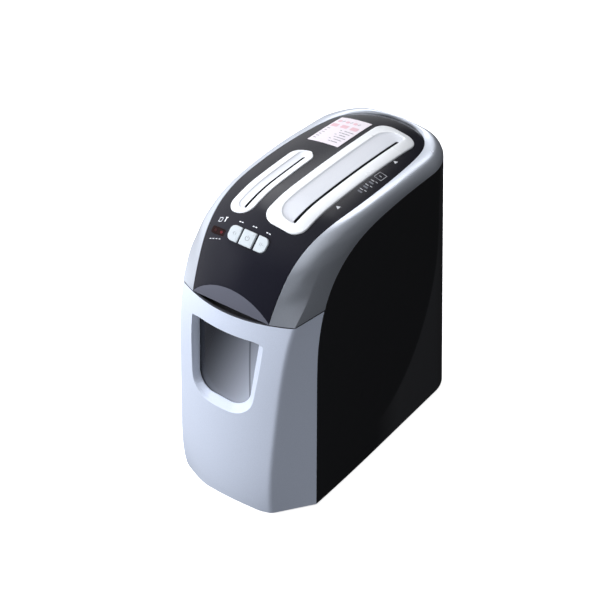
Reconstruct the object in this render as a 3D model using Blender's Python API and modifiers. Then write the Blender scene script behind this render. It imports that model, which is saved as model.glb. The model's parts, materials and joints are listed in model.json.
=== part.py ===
"""Paper and disc shredder with a slide-out bin. Front faces -Y, +X is right, +Z is up.
Dimensions are in millimetres and become metres when a mesh is made."""

import math

import bmesh
import bpy
import numpy as np

MM = 0.001

# Overall shape
REAR_Y = 191.0
FRONT_Y = -185.2  # bin front at the seam, on the centre line
BULGE = 5.8  # how far the bin front swells forward at mid height
SIDE_X = 95.5
SIDE_TAPER = 2.5  # the sides come in this much at the front
BASE_Z = 4.0
SEAM_Z = 307.0
WALL = 3.0
SEAM_GAP = 0.3
FIT = 0.3  # gap between pieces that touch
RUN = 1.0  # least gap round what turns

# Side view of the panel edge: arcs of (radius, degrees turned), from the seam to the rear
ARCH_START = (-175.4, 307.3)
ARCH_TILT = 69.1
ARCH = ((231.7, 13.8), (88.7, 43.7), (188.7, 13.6), (2000.0, 6.0))
CROWN = 11.0
PANEL_W = 74.2
PANEL_TAPER = 17.8
PANEL_ROUND_Y = 89.0
PANEL_TIP_Y = 182.0
PANEL_ROWS = 16
TIP_ROWS = 8
SCOOP_Y = -175.2

# Plan of the body's rear corners, and the line where silver meets black
CORNER_LOW = 50.0
CORNER_GROWTH = 28.0 / 375.0
CORNER_TOP = 78.0
STRAIGHT_END = REAR_Y - CORNER_TOP
ARC_LENGTH = CORNER_TOP * math.pi / 2
REAR_FLAT = SIDE_X - CORNER_TOP
OUTLINE_END = STRAIGHT_END + ARC_LENGTH + REAR_FLAT
COVER_SPLIT = STRAIGHT_END + CORNER_TOP * math.radians(62)
EDGE_LOW_Z = 191.0
EDGE_TOP_Z = 376.8
EDGE_Y = -128.0
EDGE_CENTRE_Y = 30.0
EDGE_DROP = 5.5

# Bin
CREASE_LOW = 57.0
CREASE_SPREAD = 27.4
LEFT_CREASE = 78.5
LEFT_FLARE = 9.0
LEFT_FLARE_Z = 250.0
BOW = 1 / 308.0
BOW_MID = 1 / 430.0
BIN_ARCH_HALF = 42.0
BIN_ARCH_RISE = 4.5
TUB_WALL = 2.0
TUB_FLOOR_Z = 9.3
TUB_TOP_Z = 284.0
TUB_REAR_Y = 120.0
TUB_X = (-75.0, 80.0)
TUB_FRONT_X = (-50.0, 52.0)
TUB_SHOULDER_Y, TUB_FRONT_Y = -118.0, -162.0
LEDGE_Z = 300.0
WINDOW_X = (-54.2, 51.8)
WINDOW_Z = (158.0, 277.5)
WINDOW_SLANT = 0.132  # the right edge comes in this much for each millimetre down
WINDOW_ROUNDS = (30.0, 38.0)
WINDOW_DEPTH = 9.5
WINDOW_BEVELS = (5.0, 9.5, 8.0, 6.0)  # left, right, low and top

# Slots
PAPER_X = (-2.5, 53.5)
PAPER_Y = (-111.0, 146.0)
PAPER_ROUND = 18.0
PAPER_DISH_X = 9.5
PAPER_SLIT_X = 35.8
PAPER_SLIT_Y = (-95.0, 125.0)
DISC_X = (-52.0, -19.0)
DISC_Y = (-113.0, 31.0)
DISC_ROUND = 15.0
DISC_DISH_X = -42.0
DISC_SLIT_X = -29.8
DISC_SLIT_Y = (-103.0, 19.0)
SLIT = 5.0
BEZEL_RISE = 1.8
BEZEL_DEPTH = 9.0
DISH_DEPTH = 1.4
DISH_LAP = 0.5  # how far the dish reaches into the slit

# Buttons
BUTTON_Y = -136.5
BUTTON_LONG = 19.5
BUTTON_TALL = 7.0
BUTTON_STAND = 1.4
BUTTON_EDGES = ((-29.5, -14.0), (-11.0, 7.0), (10.0, 25.5))
BUTTON_ROUND = 7.0
BUTTON_TRAVEL = 1.2
POCKET_MARGIN = 2.4
POCKET_DEPTH = 1.2

# Inside
DECK_Z = 289.0
PLATE = 3.0
FRONT_PLATE_Y = -115.0
MIDDLE_PLATE_Y = 27.0
REAR_PLATE_Y = 128.0
PLATE_FOOT_Z = 292.3
PLATE_TOP_Z = 352.0
AXIS_Z = 326.0
PAPER_AXES = (19.3, 52.3)
DISC_AXES = (-41.3, -18.3)
SHAFT_R = 5.0
BORE_GAP = 0.35
GEAR_WIDE = 6.0
GEAR_LAYERS = (134.0, 143.0, 152.0)
SYNC_TEETH = 16
TRANSFER_TEETH = 19
DISC_SYNC_TEETH = 12
DRIVE_TEETH = 24
SMALL_TEETH = 9
BIG_TEETH = 32
PINION_TEETH = 8
DRIVE_R = 24.0
SMALL_R = 9.0
BIG_R = 28.0
PINION_R = 7.0
MOTOR_X = -38.0
MOTOR_R = 24.0

SILVER = ((0.62, 0.66, 0.74), 0.6, 0.3)
BLACK = ((0.012, 0.012, 0.014), 0.0, 0.45)
GLOSS = ((0.03, 0.03, 0.04), 0.0, 0.2)
WHITE = ((0.78, 0.8, 0.84), 0.0, 0.3)
SMOKE = ((0.06, 0.065, 0.08), 0.0, 0.1)
RED_LENS = ((0.09, 0.01, 0.01), 0.0, 0.15)
STEEL = ((0.45, 0.46, 0.48), 1.0, 0.35)
NYLON = ((0.75, 0.74, 0.7), 0.0, 0.5)
BOARD = ((0.02, 0.16, 0.06), 0.0, 0.5)
RUBBER = ((0.02, 0.02, 0.02), 0.0, 0.8)

for old in list(bpy.data.objects):
    bpy.data.objects.remove(old, do_unlink=True)
PARTS = bpy.data.collections.new("paper_shredder")
TOOLS = bpy.data.collections.new("cutters")
TOOLS.hide_render = True
for collection in (PARTS, TOOLS):
    bpy.context.scene.collection.children.link(collection)


# Building blocks. A piece with no look is a helper: a cutter, or a shape to be joined to another.
def place(name, mesh, look=None, at=(0, 0, 0), tilt=0.0, smooth=False):
    """Links a mesh as an object at this point, turned about X."""
    made = bpy.data.objects.new(name, mesh)
    made.location = [value * MM for value in at]
    made.rotation_euler = (tilt, 0, 0)
    for face in mesh.polygons:
        face.use_smooth = smooth
    if look is None:
        TOOLS.objects.link(made)
        made.hide_render = True
        made.display_type = "WIRE"
        return made
    PARTS.objects.link(made)
    material = bpy.data.materials.new(name)
    material.use_nodes = True
    shader = material.node_tree.nodes["Principled BSDF"]
    shader.inputs["Base Color"].default_value = (*look[0], 1)
    shader.inputs["Metallic"].default_value = look[1]
    shader.inputs["Roughness"].default_value = look[2]
    mesh.materials.append(material)
    return made


def finished(name, work):
    """The mesh of a bmesh, with its faces pointing out."""
    bmesh.ops.recalc_face_normals(work, faces=work.faces)
    if work.faces and work.calc_volume(signed=True) < 0:
        bmesh.ops.reverse_faces(work, faces=work.faces)
    mesh = bpy.data.meshes.new(name)
    work.to_mesh(mesh)
    work.free()
    return mesh


def skin(name, verts, faces, look=None, at=(0, 0, 0), smooth=False):
    """An object from corner points in the body's millimetres, with points that coincide made one."""
    mesh = bpy.data.meshes.new(name + "_points")
    mesh.from_pydata([tuple((np.array(v, float) - np.array(at, float)) * MM) for v in verts], [], faces)
    work = bmesh.new()
    work.from_mesh(mesh)
    bpy.data.meshes.remove(mesh)
    bmesh.ops.remove_doubles(work, verts=work.verts, dist=0.00002)
    bmesh.ops.dissolve_degenerate(work, edges=work.edges, dist=0.00001)
    return place(name, finished(name, work), look, at, 0.0, smooth)


def block(name, x, y, z, look=None, at=None):
    work = bmesh.new()
    bmesh.ops.create_cube(work, size=1.0)
    middle = [(side[0] + side[1]) / 2 for side in (x, y, z)]
    at = at or middle
    for vert in work.verts:
        for k, side in enumerate((x, y, z)):
            vert.co[k] = (middle[k] - at[k] + vert.co[k] * (side[1] - side[0])) * MM
    return place(name, finished(name, work), look, at)


def extruded(name, points, lo, hi, look=None, at=(0, 0, 0), tilt=0.0):
    """A flat outline in the object's own XY plane, drawn out along its own Z."""
    work = bmesh.new()
    face = work.faces.new([work.verts.new((a * MM, b * MM, lo * MM)) for a, b in points])
    top = bmesh.ops.extrude_face_region(work, geom=[face])["geom"]
    moved = [item for item in top if isinstance(item, bmesh.types.BMVert)]
    bmesh.ops.translate(work, verts=moved, vec=(0, 0, (hi - lo) * MM))
    return place(name, finished(name, work), look, at, tilt)


def prism(name, points, lo, hi, axis="Z", look=None, at=(0, 0, 0)):
    """An outline in plan drawn up from lo to hi, or, along Y, an outline seen from the front."""
    if axis == "Z":
        return extruded(name, [(x - at[0], y - at[1]) for x, y in points], lo - at[2], hi - at[2], look, at)
    seen = [(x - at[0], z - at[2]) for x, z in points]
    return extruded(name, seen, at[1] - hi, at[1] - lo, look, at, math.pi / 2)


def rounding_corner(cx, cy, sx, sy, radius, start, steps):
    """Points of an arc that rounds a corner at (cx, cy), which faces (sx, sy)."""
    turns = [math.pi / 2 * (start + k / steps) for k in range(steps + 1)]
    mid_x, mid_y = cx - sx * radius, cy - sy * radius
    return [(mid_x + radius * math.cos(t), mid_y + radius * math.sin(t)) for t in turns]


def rounded(x, y, radii, steps=4):
    """A rectangle with round corners: one radius, or one for the low-x end and one for the high-x end."""
    low_r, high_r = radii if isinstance(radii, tuple) else (radii, radii)
    points = rounding_corner(x[1], y[1], 1, 1, high_r, 0, steps)
    points += rounding_corner(x[0], y[1], -1, 1, low_r, 1, steps)
    points += rounding_corner(x[0], y[0], -1, -1, low_r, 2, steps)
    return points + rounding_corner(x[1], y[0], 1, -1, high_r, 3, steps)


def rod(name, centre, r, lo, hi, axis="Y", count=16, look=None):
    """A plain cylinder along Y, at (x, z), or along Z, at (x, y)."""
    work = bmesh.new()
    size = {"radius1": r * MM, "radius2": r * MM, "depth": (hi - lo) * MM}
    bmesh.ops.create_cone(work, cap_ends=True, segments=count, **size)
    middle = (lo + hi) / 2
    at = (centre[0], middle, centre[1]) if axis == "Y" else (centre[0], centre[1], middle)
    made = place(name, finished(name, work), look, at, -math.pi / 2 if axis == "Y" else 0.0)
    made.data.shade_smooth()
    made.data.set_sharp_from_angle(angle=math.radians(40))
    return made


def turned(name, centre, steps, axis, count, look=None, along=0.0):
    """A round body: steps of (distance along the axis, radius), with its origin `along` the axis."""
    profile = [(0, steps[0][0])] + [(r, h) for h, r in steps] + [(0, steps[-1][0])]
    mesh = bpy.data.meshes.new(name)
    points = [(r * MM, 0, (h - along) * MM) for r, h in profile[::-1]]
    mesh.from_pydata(points, [(k, k + 1) for k in range(len(points) - 1)], [])
    at = (centre[0], along, centre[1]) if axis == "Y" else (centre[0], centre[1], along)
    made = place(name, mesh, look, at, -math.pi / 2 if axis == "Y" else 0.0)
    screw = made.modifiers.new("turn", "SCREW")
    screw.axis = "Z"
    screw.steps = screw.render_steps = count
    screw.use_merge_vertices = True
    screw.merge_threshold = 0.00001
    screw.use_smooth_shade = False
    return made


def boolean(target, tool, kind):
    step = target.modifiers.new(kind.lower(), "BOOLEAN")
    step.operation = kind
    step.solver = "EXACT"
    step.object = tool
    return target


def cut(target, *tools):
    for tool in tools:
        boolean(target, tool, "DIFFERENCE")
    return target


def join(target, *tools):
    for tool in tools:
        boolean(target, tool, "UNION")
    return target


def slab(name, outer, inner, look=None, at=(0, 0, 0), smooth=True):
    """A closed body between two grids of points of the same size."""
    rows, cols = len(outer), len(outer[0])
    verts = [p for row in outer for p in row] + [p for row in inner for p in row]
    half = rows * cols

    def quad(i, j, di, dj, shift=0):
        near, far = i * cols + j + shift, (i + di) * cols + j + shift
        return [near, far, far + dj, near + dj]

    faces = [quad(i, j, 1, 1) for i in range(rows - 1) for j in range(cols - 1)]
    faces += [quad(i, j, 1, 1, half)[::-1] for i in range(rows - 1) for j in range(cols - 1)]
    loop = [(0, j) for j in range(cols)] + [(i, cols - 1) for i in range(1, rows)]
    loop += [(rows - 1, j) for j in range(cols - 2, -1, -1)] + [(i, 0) for i in range(rows - 2, 0, -1)]
    for (a, b), (c, d) in zip(loop, loop[1:] + loop[:1]):
        first, second = a * cols + b, c * cols + d
        faces.append([first, second, second + half, first + half])
    return skin(name, verts, faces, look, at, smooth)


def loft(name, rings, look=None, at=(0, 0, 0), smooth=False):
    """A closed body through rings of points, capped at both ends."""
    count = len(rings[0])
    verts = [p for ring in rings for p in ring]
    faces = [list(range(count))[::-1], [(len(rings) - 1) * count + k for k in range(count)]]
    for r in range(len(rings) - 1):
        for k in range(count):
            n = (k + 1) % count
            faces.append([r * count + k, r * count + n, (r + 1) * count + n, (r + 1) * count + k])
    return skin(name, verts, faces, look, at, smooth)


def spline(keys, values, at):
    """A smooth curve through the values at the keys, with slopes from their neighbours."""
    keys, values = np.array(keys, float), np.array(values, float)
    slopes = np.gradient(values, keys)
    k = int(np.clip(np.searchsorted(keys, at) - 1, 0, len(keys) - 2))
    span = keys[k + 1] - keys[k]
    t = (at - keys[k]) / span
    a, b = 2 * t**3 - 3 * t**2 + 1, t**3 - 2 * t**2 + t
    return a * values[k] + (1 - a) * values[k + 1] + span * (b * slopes[k] + (t**3 - t**2) * slopes[k + 1])


# Shape of the panel
def arch(s):
    """(y, z, slope) of the panel edge at this length from the seam."""
    y, z, a = ARCH_START[0], ARCH_START[1], math.radians(ARCH_TILT)
    for r, degrees in ARCH:
        turn = min(math.radians(degrees), s / r)
        y += r * (math.sin(a) - math.sin(a - turn))
        z += r * (math.cos(a - turn) - math.cos(a))
        a -= turn
        s -= turn * r
    return y + s * math.cos(a), z + s * math.sin(a), a


def bisect(value, target, lo, hi):
    for _ in range(40):
        mid = (lo + hi) / 2
        if value(mid) < target:
            lo = mid
        else:
            hi = mid
    return (lo + hi) / 2


def station(y):
    return bisect(lambda s: arch(s)[0], y, 0, 450)


def round_share(y):
    return min(max((y - PANEL_ROUND_Y) / (PANEL_TIP_Y - PANEL_ROUND_Y), 0), 1)


def half_width(y):
    straight = PANEL_W - PANEL_TAPER * ((y - 7.5) / 180) ** 2
    return straight * max(1 - round_share(y) ** 4, 0) ** (1 / 2.2)


def panel_point(u, s, rise=0.0):
    """A point on the crowned panel: u runs from -1 to 1 across it."""
    y, z, a = arch(s)
    high = CROWN * (1 - u * u) * (1 - round_share(y) ** 4) + rise
    face_y = SCOOP_Y - min(rise, 0)
    if s <= 0:
        return (u * half_width(y), face_y, SEAM_Z + SEAM_GAP)
    return (u * half_width(y), max(y - math.sin(a) * high, face_y), z + math.cos(a) * high)


def panel_z(x, y, rise=0.0):
    """Height of the panel surface above (x, y), moved out by `rise` along the surface's own slope."""

    def reach(s):
        return panel_point(min(abs(x) / max(half_width(arch(s)[0]), 1), 1), s, rise)

    s = bisect(lambda value: reach(value)[1], y, 1, 420)
    return reach(s)[2]


def panel_rows():
    """Lengths from the seam to the tip, closer where the edge turns."""
    end = station(PANEL_ROUND_Y)
    straight = [end * k / PANEL_ROWS for k in range(PANEL_ROWS + 1)]
    reach = PANEL_TIP_Y - PANEL_ROUND_Y
    turns = [math.pi / 2 * k / TIP_ROWS for k in range(1, TIP_ROWS + 1)]
    return straight + [station(PANEL_ROUND_Y + reach * math.sin(turn)) for turn in turns]


# Shape of the body
def corner(z):
    return CORNER_LOW + CORNER_GROWTH * z


def outline(along, z, side=1):
    """(distance from x = 0, y, normal) of one side of the body in plan, `along` it from y = 0."""
    r = corner(z)
    centre_y = REAR_Y - r
    trim = 0 if side > 0 else float(np.interp(along, KEY_COLUMNS[4], KEY_COLUMNS[8]))
    if along <= 0:
        return SIDE_X - trim - SIDE_TAPER * (along / EDGE_Y) ** 2, along, (1.0, 0.0)
    if along <= STRAIGHT_END:
        return SIDE_X - trim, along * centre_y / STRAIGHT_END, (1.0, 0.0)
    if along <= STRAIGHT_END + ARC_LENGTH:
        a = (along - STRAIGHT_END) / CORNER_TOP
        return SIDE_X - r + (r - trim) * math.cos(a), centre_y + r * math.sin(a), (math.cos(a), math.sin(a))
    share = max(1 - (along - STRAIGHT_END - ARC_LENGTH) / REAR_FLAT, 0)
    return (SIDE_X - r) * share, REAR_Y, (0.0, 1.0)


def edge_z(along):
    """Height of the line between the silver top and the black sides."""
    if along < EDGE_CENTRE_Y:
        share = min((EDGE_CENTRE_Y - along) / (EDGE_CENTRE_Y - EDGE_Y), 1)
        return EDGE_LOW_Z + (EDGE_TOP_Z - EDGE_LOW_Z) * (1 - share**3) ** (1 / 3)
    share = min((along - EDGE_CENTRE_Y) / 130, 1)
    return EDGE_TOP_Z - EDGE_DROP * (1 - math.cos(math.pi * share)) / 2


def edge_y(z):
    """The same line, as y at a height below its top."""
    share = max((z - EDGE_LOW_Z) / (EDGE_TOP_Z - EDGE_LOW_Z), 0)
    return EDGE_CENTRE_Y - (EDGE_CENTRE_Y - EDGE_Y) * (1 - share**3) ** (1 / 3)


def bow(x, z, inset=0.0):
    """y of the bin's bowed front."""
    swell = max(1 - abs((z - 155.5) / 151.5) ** 4, 0)
    curve = BOW + (BOW_MID - BOW) * swell
    return FRONT_Y - BULGE * swell + curve * x * x + inset


def crease(z):
    """Where the bowed front ends on the right."""
    return CREASE_LOW + CREASE_SPREAD * ((z - BASE_Z) / (SEAM_Z - BASE_Z)) ** 1.25


def left_crease(z):
    return -LEFT_CREASE - LEFT_FLARE * max(1 - z / LEFT_FLARE_Z, 0) ** 2


# Silver band. For each key: the panel edge's y, the right fold (x, y, z), the lower edge along the side,
# the left fold (distance from x = 0, y, z), and how much nearer the left side is than the right one
BAND_KEYS = (
    (-175.4, 84.4, -162.1, 307.3, -113.6, 79.2, -164.8, 307.3, 2.4),
    (-167.0, 86.0, -140.0, 331.0, -100.0, 86.4, -141.6, 331.3, 3.2),
    (-155.5, 87.0, -128.0, 351.0, -80.0, 84.6, -128.6, 351.1, 5.0),
    (-139.0, 88.0, -113.5, 370.0, -50.0, 83.3, -111.8, 369.9, 6.5),
    (-118.0, 88.6, -92.0, 382.5, -24.0, 82.7, -88.3, 381.9, 7.6),
    (-85.0, 89.0, -62.0, 389.3, -2.0, 83.1, -58.6, 388.6, 8.2),
    (-50.0, 89.2, -32.0, 391.3, 18.0, 83.2, -28.8, 390.4, 8.6),
    (0.0, 89.2, 10.0, 391.0, 42.0, 83.2, 12.3, 389.8, 8.9),
    (45.0, 88.8, 52.0, 388.5, 72.0, 82.7, 53.4, 387.4, 9.1),
    (89.0, 87.0, 93.0, 385.0, 101.0, 80.9, 93.5, 383.9, 9.3),
    (135.5, 79.0, 143.0, 381.5, 141.0, 73.8, 142.0, 380.5, 9.2),
    (165.0, 55.0, 174.0, 379.0, 188.0, 52.1, 173.7, 378.5, 8.6),
    (182.0, 0.0, 187.5, 377.5, OUTLINE_END, 0.0, 187.5, 377.5, 8.3),
)
BAND_STEPS = 6


def lap_of(s):
    """How far round the panel edge: 0 at the seam, 1 where the rear round starts, 2 at its tip."""
    y = arch(s)[0]
    if y < PANEL_ROUND_Y:
        return s / station(PANEL_ROUND_Y)
    return 1 + math.asin(min((y - PANEL_ROUND_Y) / (PANEL_TIP_Y - PANEL_ROUND_Y), 1)) / (math.pi / 2)


KEY_COLUMNS = list(zip(*BAND_KEYS))
KEY_LAPS = [0.0] + [lap_of(station(key[0])) for key in BAND_KEYS[1:-1]] + [2.0]
ROWS = panel_rows()
ROW_LAPS = [0.0] + [lap_of(s) for s in ROWS[1:-1]] + [2.0]
ROW_ALONGS = [spline(KEY_LAPS, KEY_COLUMNS[4], lap) for lap in ROW_LAPS]


def plan_normal(s):
    """Outward direction, in plan, of the panel edge."""
    y = arch(s)[0]
    if y >= PANEL_TIP_Y - 0.01:
        return 0.0, 1.0
    slope = (half_width(min(y + 0.01, PANEL_TIP_Y)) - half_width(y - 0.01)) / 0.02
    size = math.hypot(1, slope)
    return 1 / size, -slope / size


def band_row(s, lap, along, depth, side):
    edge = panel_point(1, s)
    out_x, out_y = plan_normal(s)
    start = np.array([edge[0] + out_x * SEAM_GAP * 1.4, edge[1] + out_y * SEAM_GAP * 1.4, edge[2]])
    fold_columns = (1, 2, 3) if side > 0 else (5, 6, 7)
    fold = np.array([spline(KEY_LAPS, KEY_COLUMNS[k], lap) for k in fold_columns])
    foot_z = edge_z(along)
    foot_x, foot_y, side_normal = outline(along, foot_z, side)
    foot = np.array([foot_x, foot_y, foot_z])
    tilt = arch(s)[2]
    first = np.array([0, -math.sin(tilt), math.cos(tilt)])
    last = np.array([side_normal[0], side_normal[1], 0.0])
    sharp = float(np.clip(1 - lap / KEY_LAPS[3], 0, 1))
    pull = 2 * fold - (start + foot) / 2
    row = []
    for k in range(BAND_STEPS + 1):
        t = k / BAND_STEPS
        soft = (1 - t) ** 2 * start + 2 * t * (1 - t) * pull + t * t * foot
        if t < 0.5:
            hard = start + (fold - start) * 2 * t
            hard[1] += (hard[0] - start[0]) * (hard[0] - fold[0]) * BOW
        else:
            hard = fold + (foot - fold) * (2 * t - 1)
        way = (1 - t) * first + t * last
        point = sharp * hard + (1 - sharp) * soft - way / np.linalg.norm(way) * depth
        if lap == 0:
            point[2] = SEAM_Z + SEAM_GAP
        row.append(tuple(point))
    return row


def band_half(depth, side):
    half = [band_row(s, lap, along, depth, side) for s, lap, along in zip(ROWS, ROW_LAPS, ROW_ALONGS)]
    half[-1] = [(0.0, y, z) for _, y, z in half[-1]]
    return half


def flip_x(grid):
    return [[(-x, y, z) for x, y, z in row] for row in grid]


def band_grid(depth):
    return band_half(depth, 1) + flip_x(band_half(depth, -1))[-2::-1]


top_cover = slab("top_cover", band_grid(0), band_grid(WALL), SILVER)

# Outer covers
def side_column(along, top, depth, side):
    low_x, low_y, normal = outline(along, BASE_Z, side)
    high_x, high_y, _ = outline(along, top, side)
    shift = (normal[0] * depth, normal[1] * depth)
    return [(low_x - shift[0], low_y - shift[1], BASE_Z), (high_x - shift[0], high_y - shift[1], top)]


def under_band(along, depth, side):
    """A column that ends a gap below the silver band."""
    slope = edge_z(along + 0.5) - edge_z(along - 0.5)
    return side_column(along, edge_z(along) - SEAM_GAP * math.hypot(1, slope), depth, side)


BIN_HEIGHTS = (EDGE_LOW_Z, 228.0, 258.0, 284.0, 302.0)


def side_grid(depth, side):
    beside_bin = [side_column(edge_y(z) + FIT, z, depth, side) for z in BIN_HEIGHTS]
    alongs = [a for a in ROW_ALONGS if a < COVER_SPLIT - 3] + [COVER_SPLIT]
    return beside_bin + [under_band(a, depth, side) for a in alongs]


def rear_grid(depth):
    alongs = [COVER_SPLIT + FIT * 2] + [a for a in ROW_ALONGS if a > COVER_SPLIT + 3]
    halves = [[under_band(a, depth, side) for a in alongs] for side in (-1, 1)]
    for half in halves:
        half[-1] = [(0.0, y, z) for _, y, z in half[-1]]
    return flip_x(halves[0][:-1]) + halves[1][::-1]


right_side_cover = slab("right_side_cover", side_grid(0, 1), side_grid(WALL, 1), BLACK)
left_side_cover = slab("left_side_cover", flip_x(side_grid(0, -1)), flip_x(side_grid(WALL, -1)), BLACK)
rear_cover = slab("rear_cover", rear_grid(0), rear_grid(WALL), BLACK)

# Panel and what is set in it
PANEL_COLUMNS = [k / 6 - 1 for k in range(13)]


def panel_grid(rise):
    return [[panel_point(u, s, rise) for u in PANEL_COLUMNS] for s in ROWS]


control_panel = slab("control_panel", panel_grid(0), panel_grid(-WALL), GLOSS)


def plate_on_panel(name, x, y, top, bottom, look=None, columns=5, rows=12):
    xs = [x[0] + (x[1] - x[0]) * k / columns for k in range(columns + 1)]
    ys = [y[0] + (y[1] - y[0]) * k / rows for k in range(rows + 1)]
    grids = [[[(px, py, panel_z(px, py) + high) for px in xs] for py in ys] for high in (top, bottom)]
    return slab(name, grids[0], grids[1], look)


def dish(name, x, y, slit_x, steps=10):
    """A trough that falls from its outer edge to the slit, and rises again towards both ends."""
    middle, reach = (y[0] + y[1]) / 2, (y[1] - y[0]) / 2
    near = slit_x + SLIT / 2 - DISH_LAP
    deep = slit_x - SLIT / 2 + DISH_LAP
    far_share = (0.0, 0.3, 0.62, 1.0)
    rings = []
    for k in range(steps + 1):
        share = math.sin(math.pi / 2 * (2 * k / steps - 1))
        fade = math.sqrt(max(1 - abs(share) ** 6, 0.04))
        py = middle + reach * share
        left = x + (deep - x) * (1 - fade) * 0.6
        points = [(near, py, panel_z(near, py) + 6), (near, py, panel_z(near, py) - DISH_DEPTH * fade)]
        for value in far_share[::-1]:
            px = left + (deep - left) * value
            fall = (DISH_DEPTH + BEZEL_RISE) * fade * value**0.7
            points.append((px, py, panel_z(px, py) + BEZEL_RISE - fall))
        points.append((left, py, panel_z(left, py) + 6))
        rings.append(points)
    return loft(name, rings)


def bezel(name, x, y, radius, dish_x, slit_x, slit_y):
    """A raised frame that drops through the panel, with its guide dish and slit."""
    frame = plate_on_panel(name, (x[0] - 1, x[1] + 1), (y[0] - 1, y[1] + 1), BEZEL_RISE, -BEZEL_DEPTH, WHITE)
    boolean(frame, prism(name + "_plan", rounded(x, y, radius), 300, 430), "INTERSECT")
    trough = dish(name + "_dish", dish_x, (slit_y[0] - 2, slit_y[1] + 11), slit_x)
    slit = block(name + "_slit", (slit_x - SLIT / 2, slit_x + SLIT / 2), slit_y, (300, 430))
    cut(frame, trough, slit)
    room = rounded((x[0] - FIT, x[1] + FIT), (y[0] - FIT, y[1] + FIT), radius + FIT)
    cut(control_panel, prism(name + "_opening", room, 300, 430))
    return frame


bezel("paper_slot_bezel", PAPER_X, PAPER_Y, PAPER_ROUND, PAPER_DISH_X, PAPER_SLIT_X, PAPER_SLIT_Y)
bezel("disc_slot_bezel", DISC_X, DISC_Y, DISC_ROUND, DISC_DISH_X, DISC_SLIT_X, DISC_SLIT_Y)

BUTTON_TILT = arch(station(BUTTON_Y))[2]


def slope_prism(name, points, low, high, origin, look=None):
    """An outline on the panel's slope, drawn out from it. `origin` is the outline's own zero."""
    return extruded(name, points, low, high, look, tuple(origin), BUTTON_TILT)


def slope_origin(x):
    return np.array([0, BUTTON_Y, panel_z(x, BUTTON_Y)])


def button_outline(index, grow, middle=0.0):
    """Outer ends are round, inner ends square. `middle` is the outline's own zero across the panel."""
    x = (BUTTON_EDGES[index][0] - grow - middle, BUTTON_EDGES[index][1] + grow - middle)
    half = BUTTON_LONG / 2 + grow
    radii = tuple(BUTTON_ROUND + grow if index == end else 0.8 for end in (0, 2))
    return rounded(x, (-half, half), radii)


pocket_x = (BUTTON_EDGES[0][0] - POCKET_MARGIN, BUTTON_EDGES[2][1] + POCKET_MARGIN)
pocket_y = (-BUTTON_LONG / 2 - POCKET_MARGIN, BUTTON_LONG / 2 + POCKET_MARGIN)
centre_origin = slope_origin(BUTTON_EDGES[1][0])
pocket_plan = rounded(pocket_x, pocket_y, BUTTON_ROUND + POCKET_MARGIN)
cut(control_panel, slope_prism("pocket", pocket_plan, -POCKET_DEPTH, 12, centre_origin))
BUTTON_NAMES = ("left_button", "power_button", "right_button")
for index, name in enumerate(BUTTON_NAMES):
    middle_x = sum(BUTTON_EDGES[index]) / 2
    lower = panel_z(middle_x, BUTTON_Y) - centre_origin[2]
    cap_top = BUTTON_STAND + lower * math.cos(BUTTON_TILT)
    origin = centre_origin + np.array([middle_x, 0, 0])
    slope_prism(name, button_outline(index, 0, middle_x), -BUTTON_TALL, cap_top, origin, WHITE)
    cut(control_panel, slope_prism(name + "_hole", button_outline(index, 0.45), -12, 12, centre_origin))

LENS_X, LENS_HALF = (-54.0, -35.0), 4.2
lens_origin = np.array([0, -137.0, panel_z(-44.5, -137.0)])
lens_plan = rounded(LENS_X, (-LENS_HALF, LENS_HALF), 1.5, 2)
status_window = slope_prism("status_window", lens_plan, -4.5, 0.4, lens_origin, RED_LENS)
lens_room = rounded((LENS_X[0] - FIT, LENS_X[1] + FIT), (-LENS_HALF - FIT, LENS_HALF + FIT), 1.5 + FIT, 2)
cut(control_panel, slope_prism("lens_hole", lens_room, -12, 12, lens_origin))

LABEL_X, LABEL_Y = (-55.0, -9.5), (59.0, 134.0)
instruction_label = plate_on_panel("instruction_label", LABEL_X, LABEL_Y, FIT + 0.4, FIT, WHITE, 4, 6)


# Bin
def offset_line(points, depth):
    """A plan polyline moved inward, with its ends kept on their own y."""
    moved = []
    for k, (x, y) in enumerate(points):
        ways = []
        for a, b in ((k - 1, k), (k, k + 1)):
            if a >= 0 and b < len(points):
                dx, dy = points[b][0] - points[a][0], points[b][1] - points[a][1]
                size = math.hypot(dx, dy)
                ways.append((dy / size, -dx / size))
        nx, ny = sum(w[0] for w in ways), sum(w[1] for w in ways)
        size = math.hypot(nx, ny)
        nx, ny = nx / size, ny / size
        if len(ways) == 1:
            moved.append((x - depth / nx, y))
        else:
            reach = depth / (nx * ways[0][0] + ny * ways[0][1])
            moved.append((x - nx * reach, y - ny * reach))
    return moved


BIN_LEVELS = (BASE_Z, 12.0, 38.0, 80.0, 125.0, 165.0, 205.0, 240.0, 268.0, 290.0, SEAM_Z - SEAM_GAP)
BOW_COLUMNS = 12


def bin_section(z, depth):
    xs = np.linspace(left_crease(z), crease(z), BOW_COLUMNS + 1)
    foot_y = edge_y(z) - FIT
    feet = [outline(foot_y, z, side)[0] for side in (-1, 1)]
    line = [(-feet[0], foot_y)] + [(x, bow(x, z)) for x in xs] + [(feet[1], foot_y)]
    lift = BIN_ARCH_RISE if z == BASE_Z else 0.0
    rise = [lift * max(1 - (x / BIN_ARCH_HALF) ** 2, 0) for x, _ in line]
    return [(x, y, z + up) for (x, y), up in zip(offset_line(line, depth) if depth else line, rise)]


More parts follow.
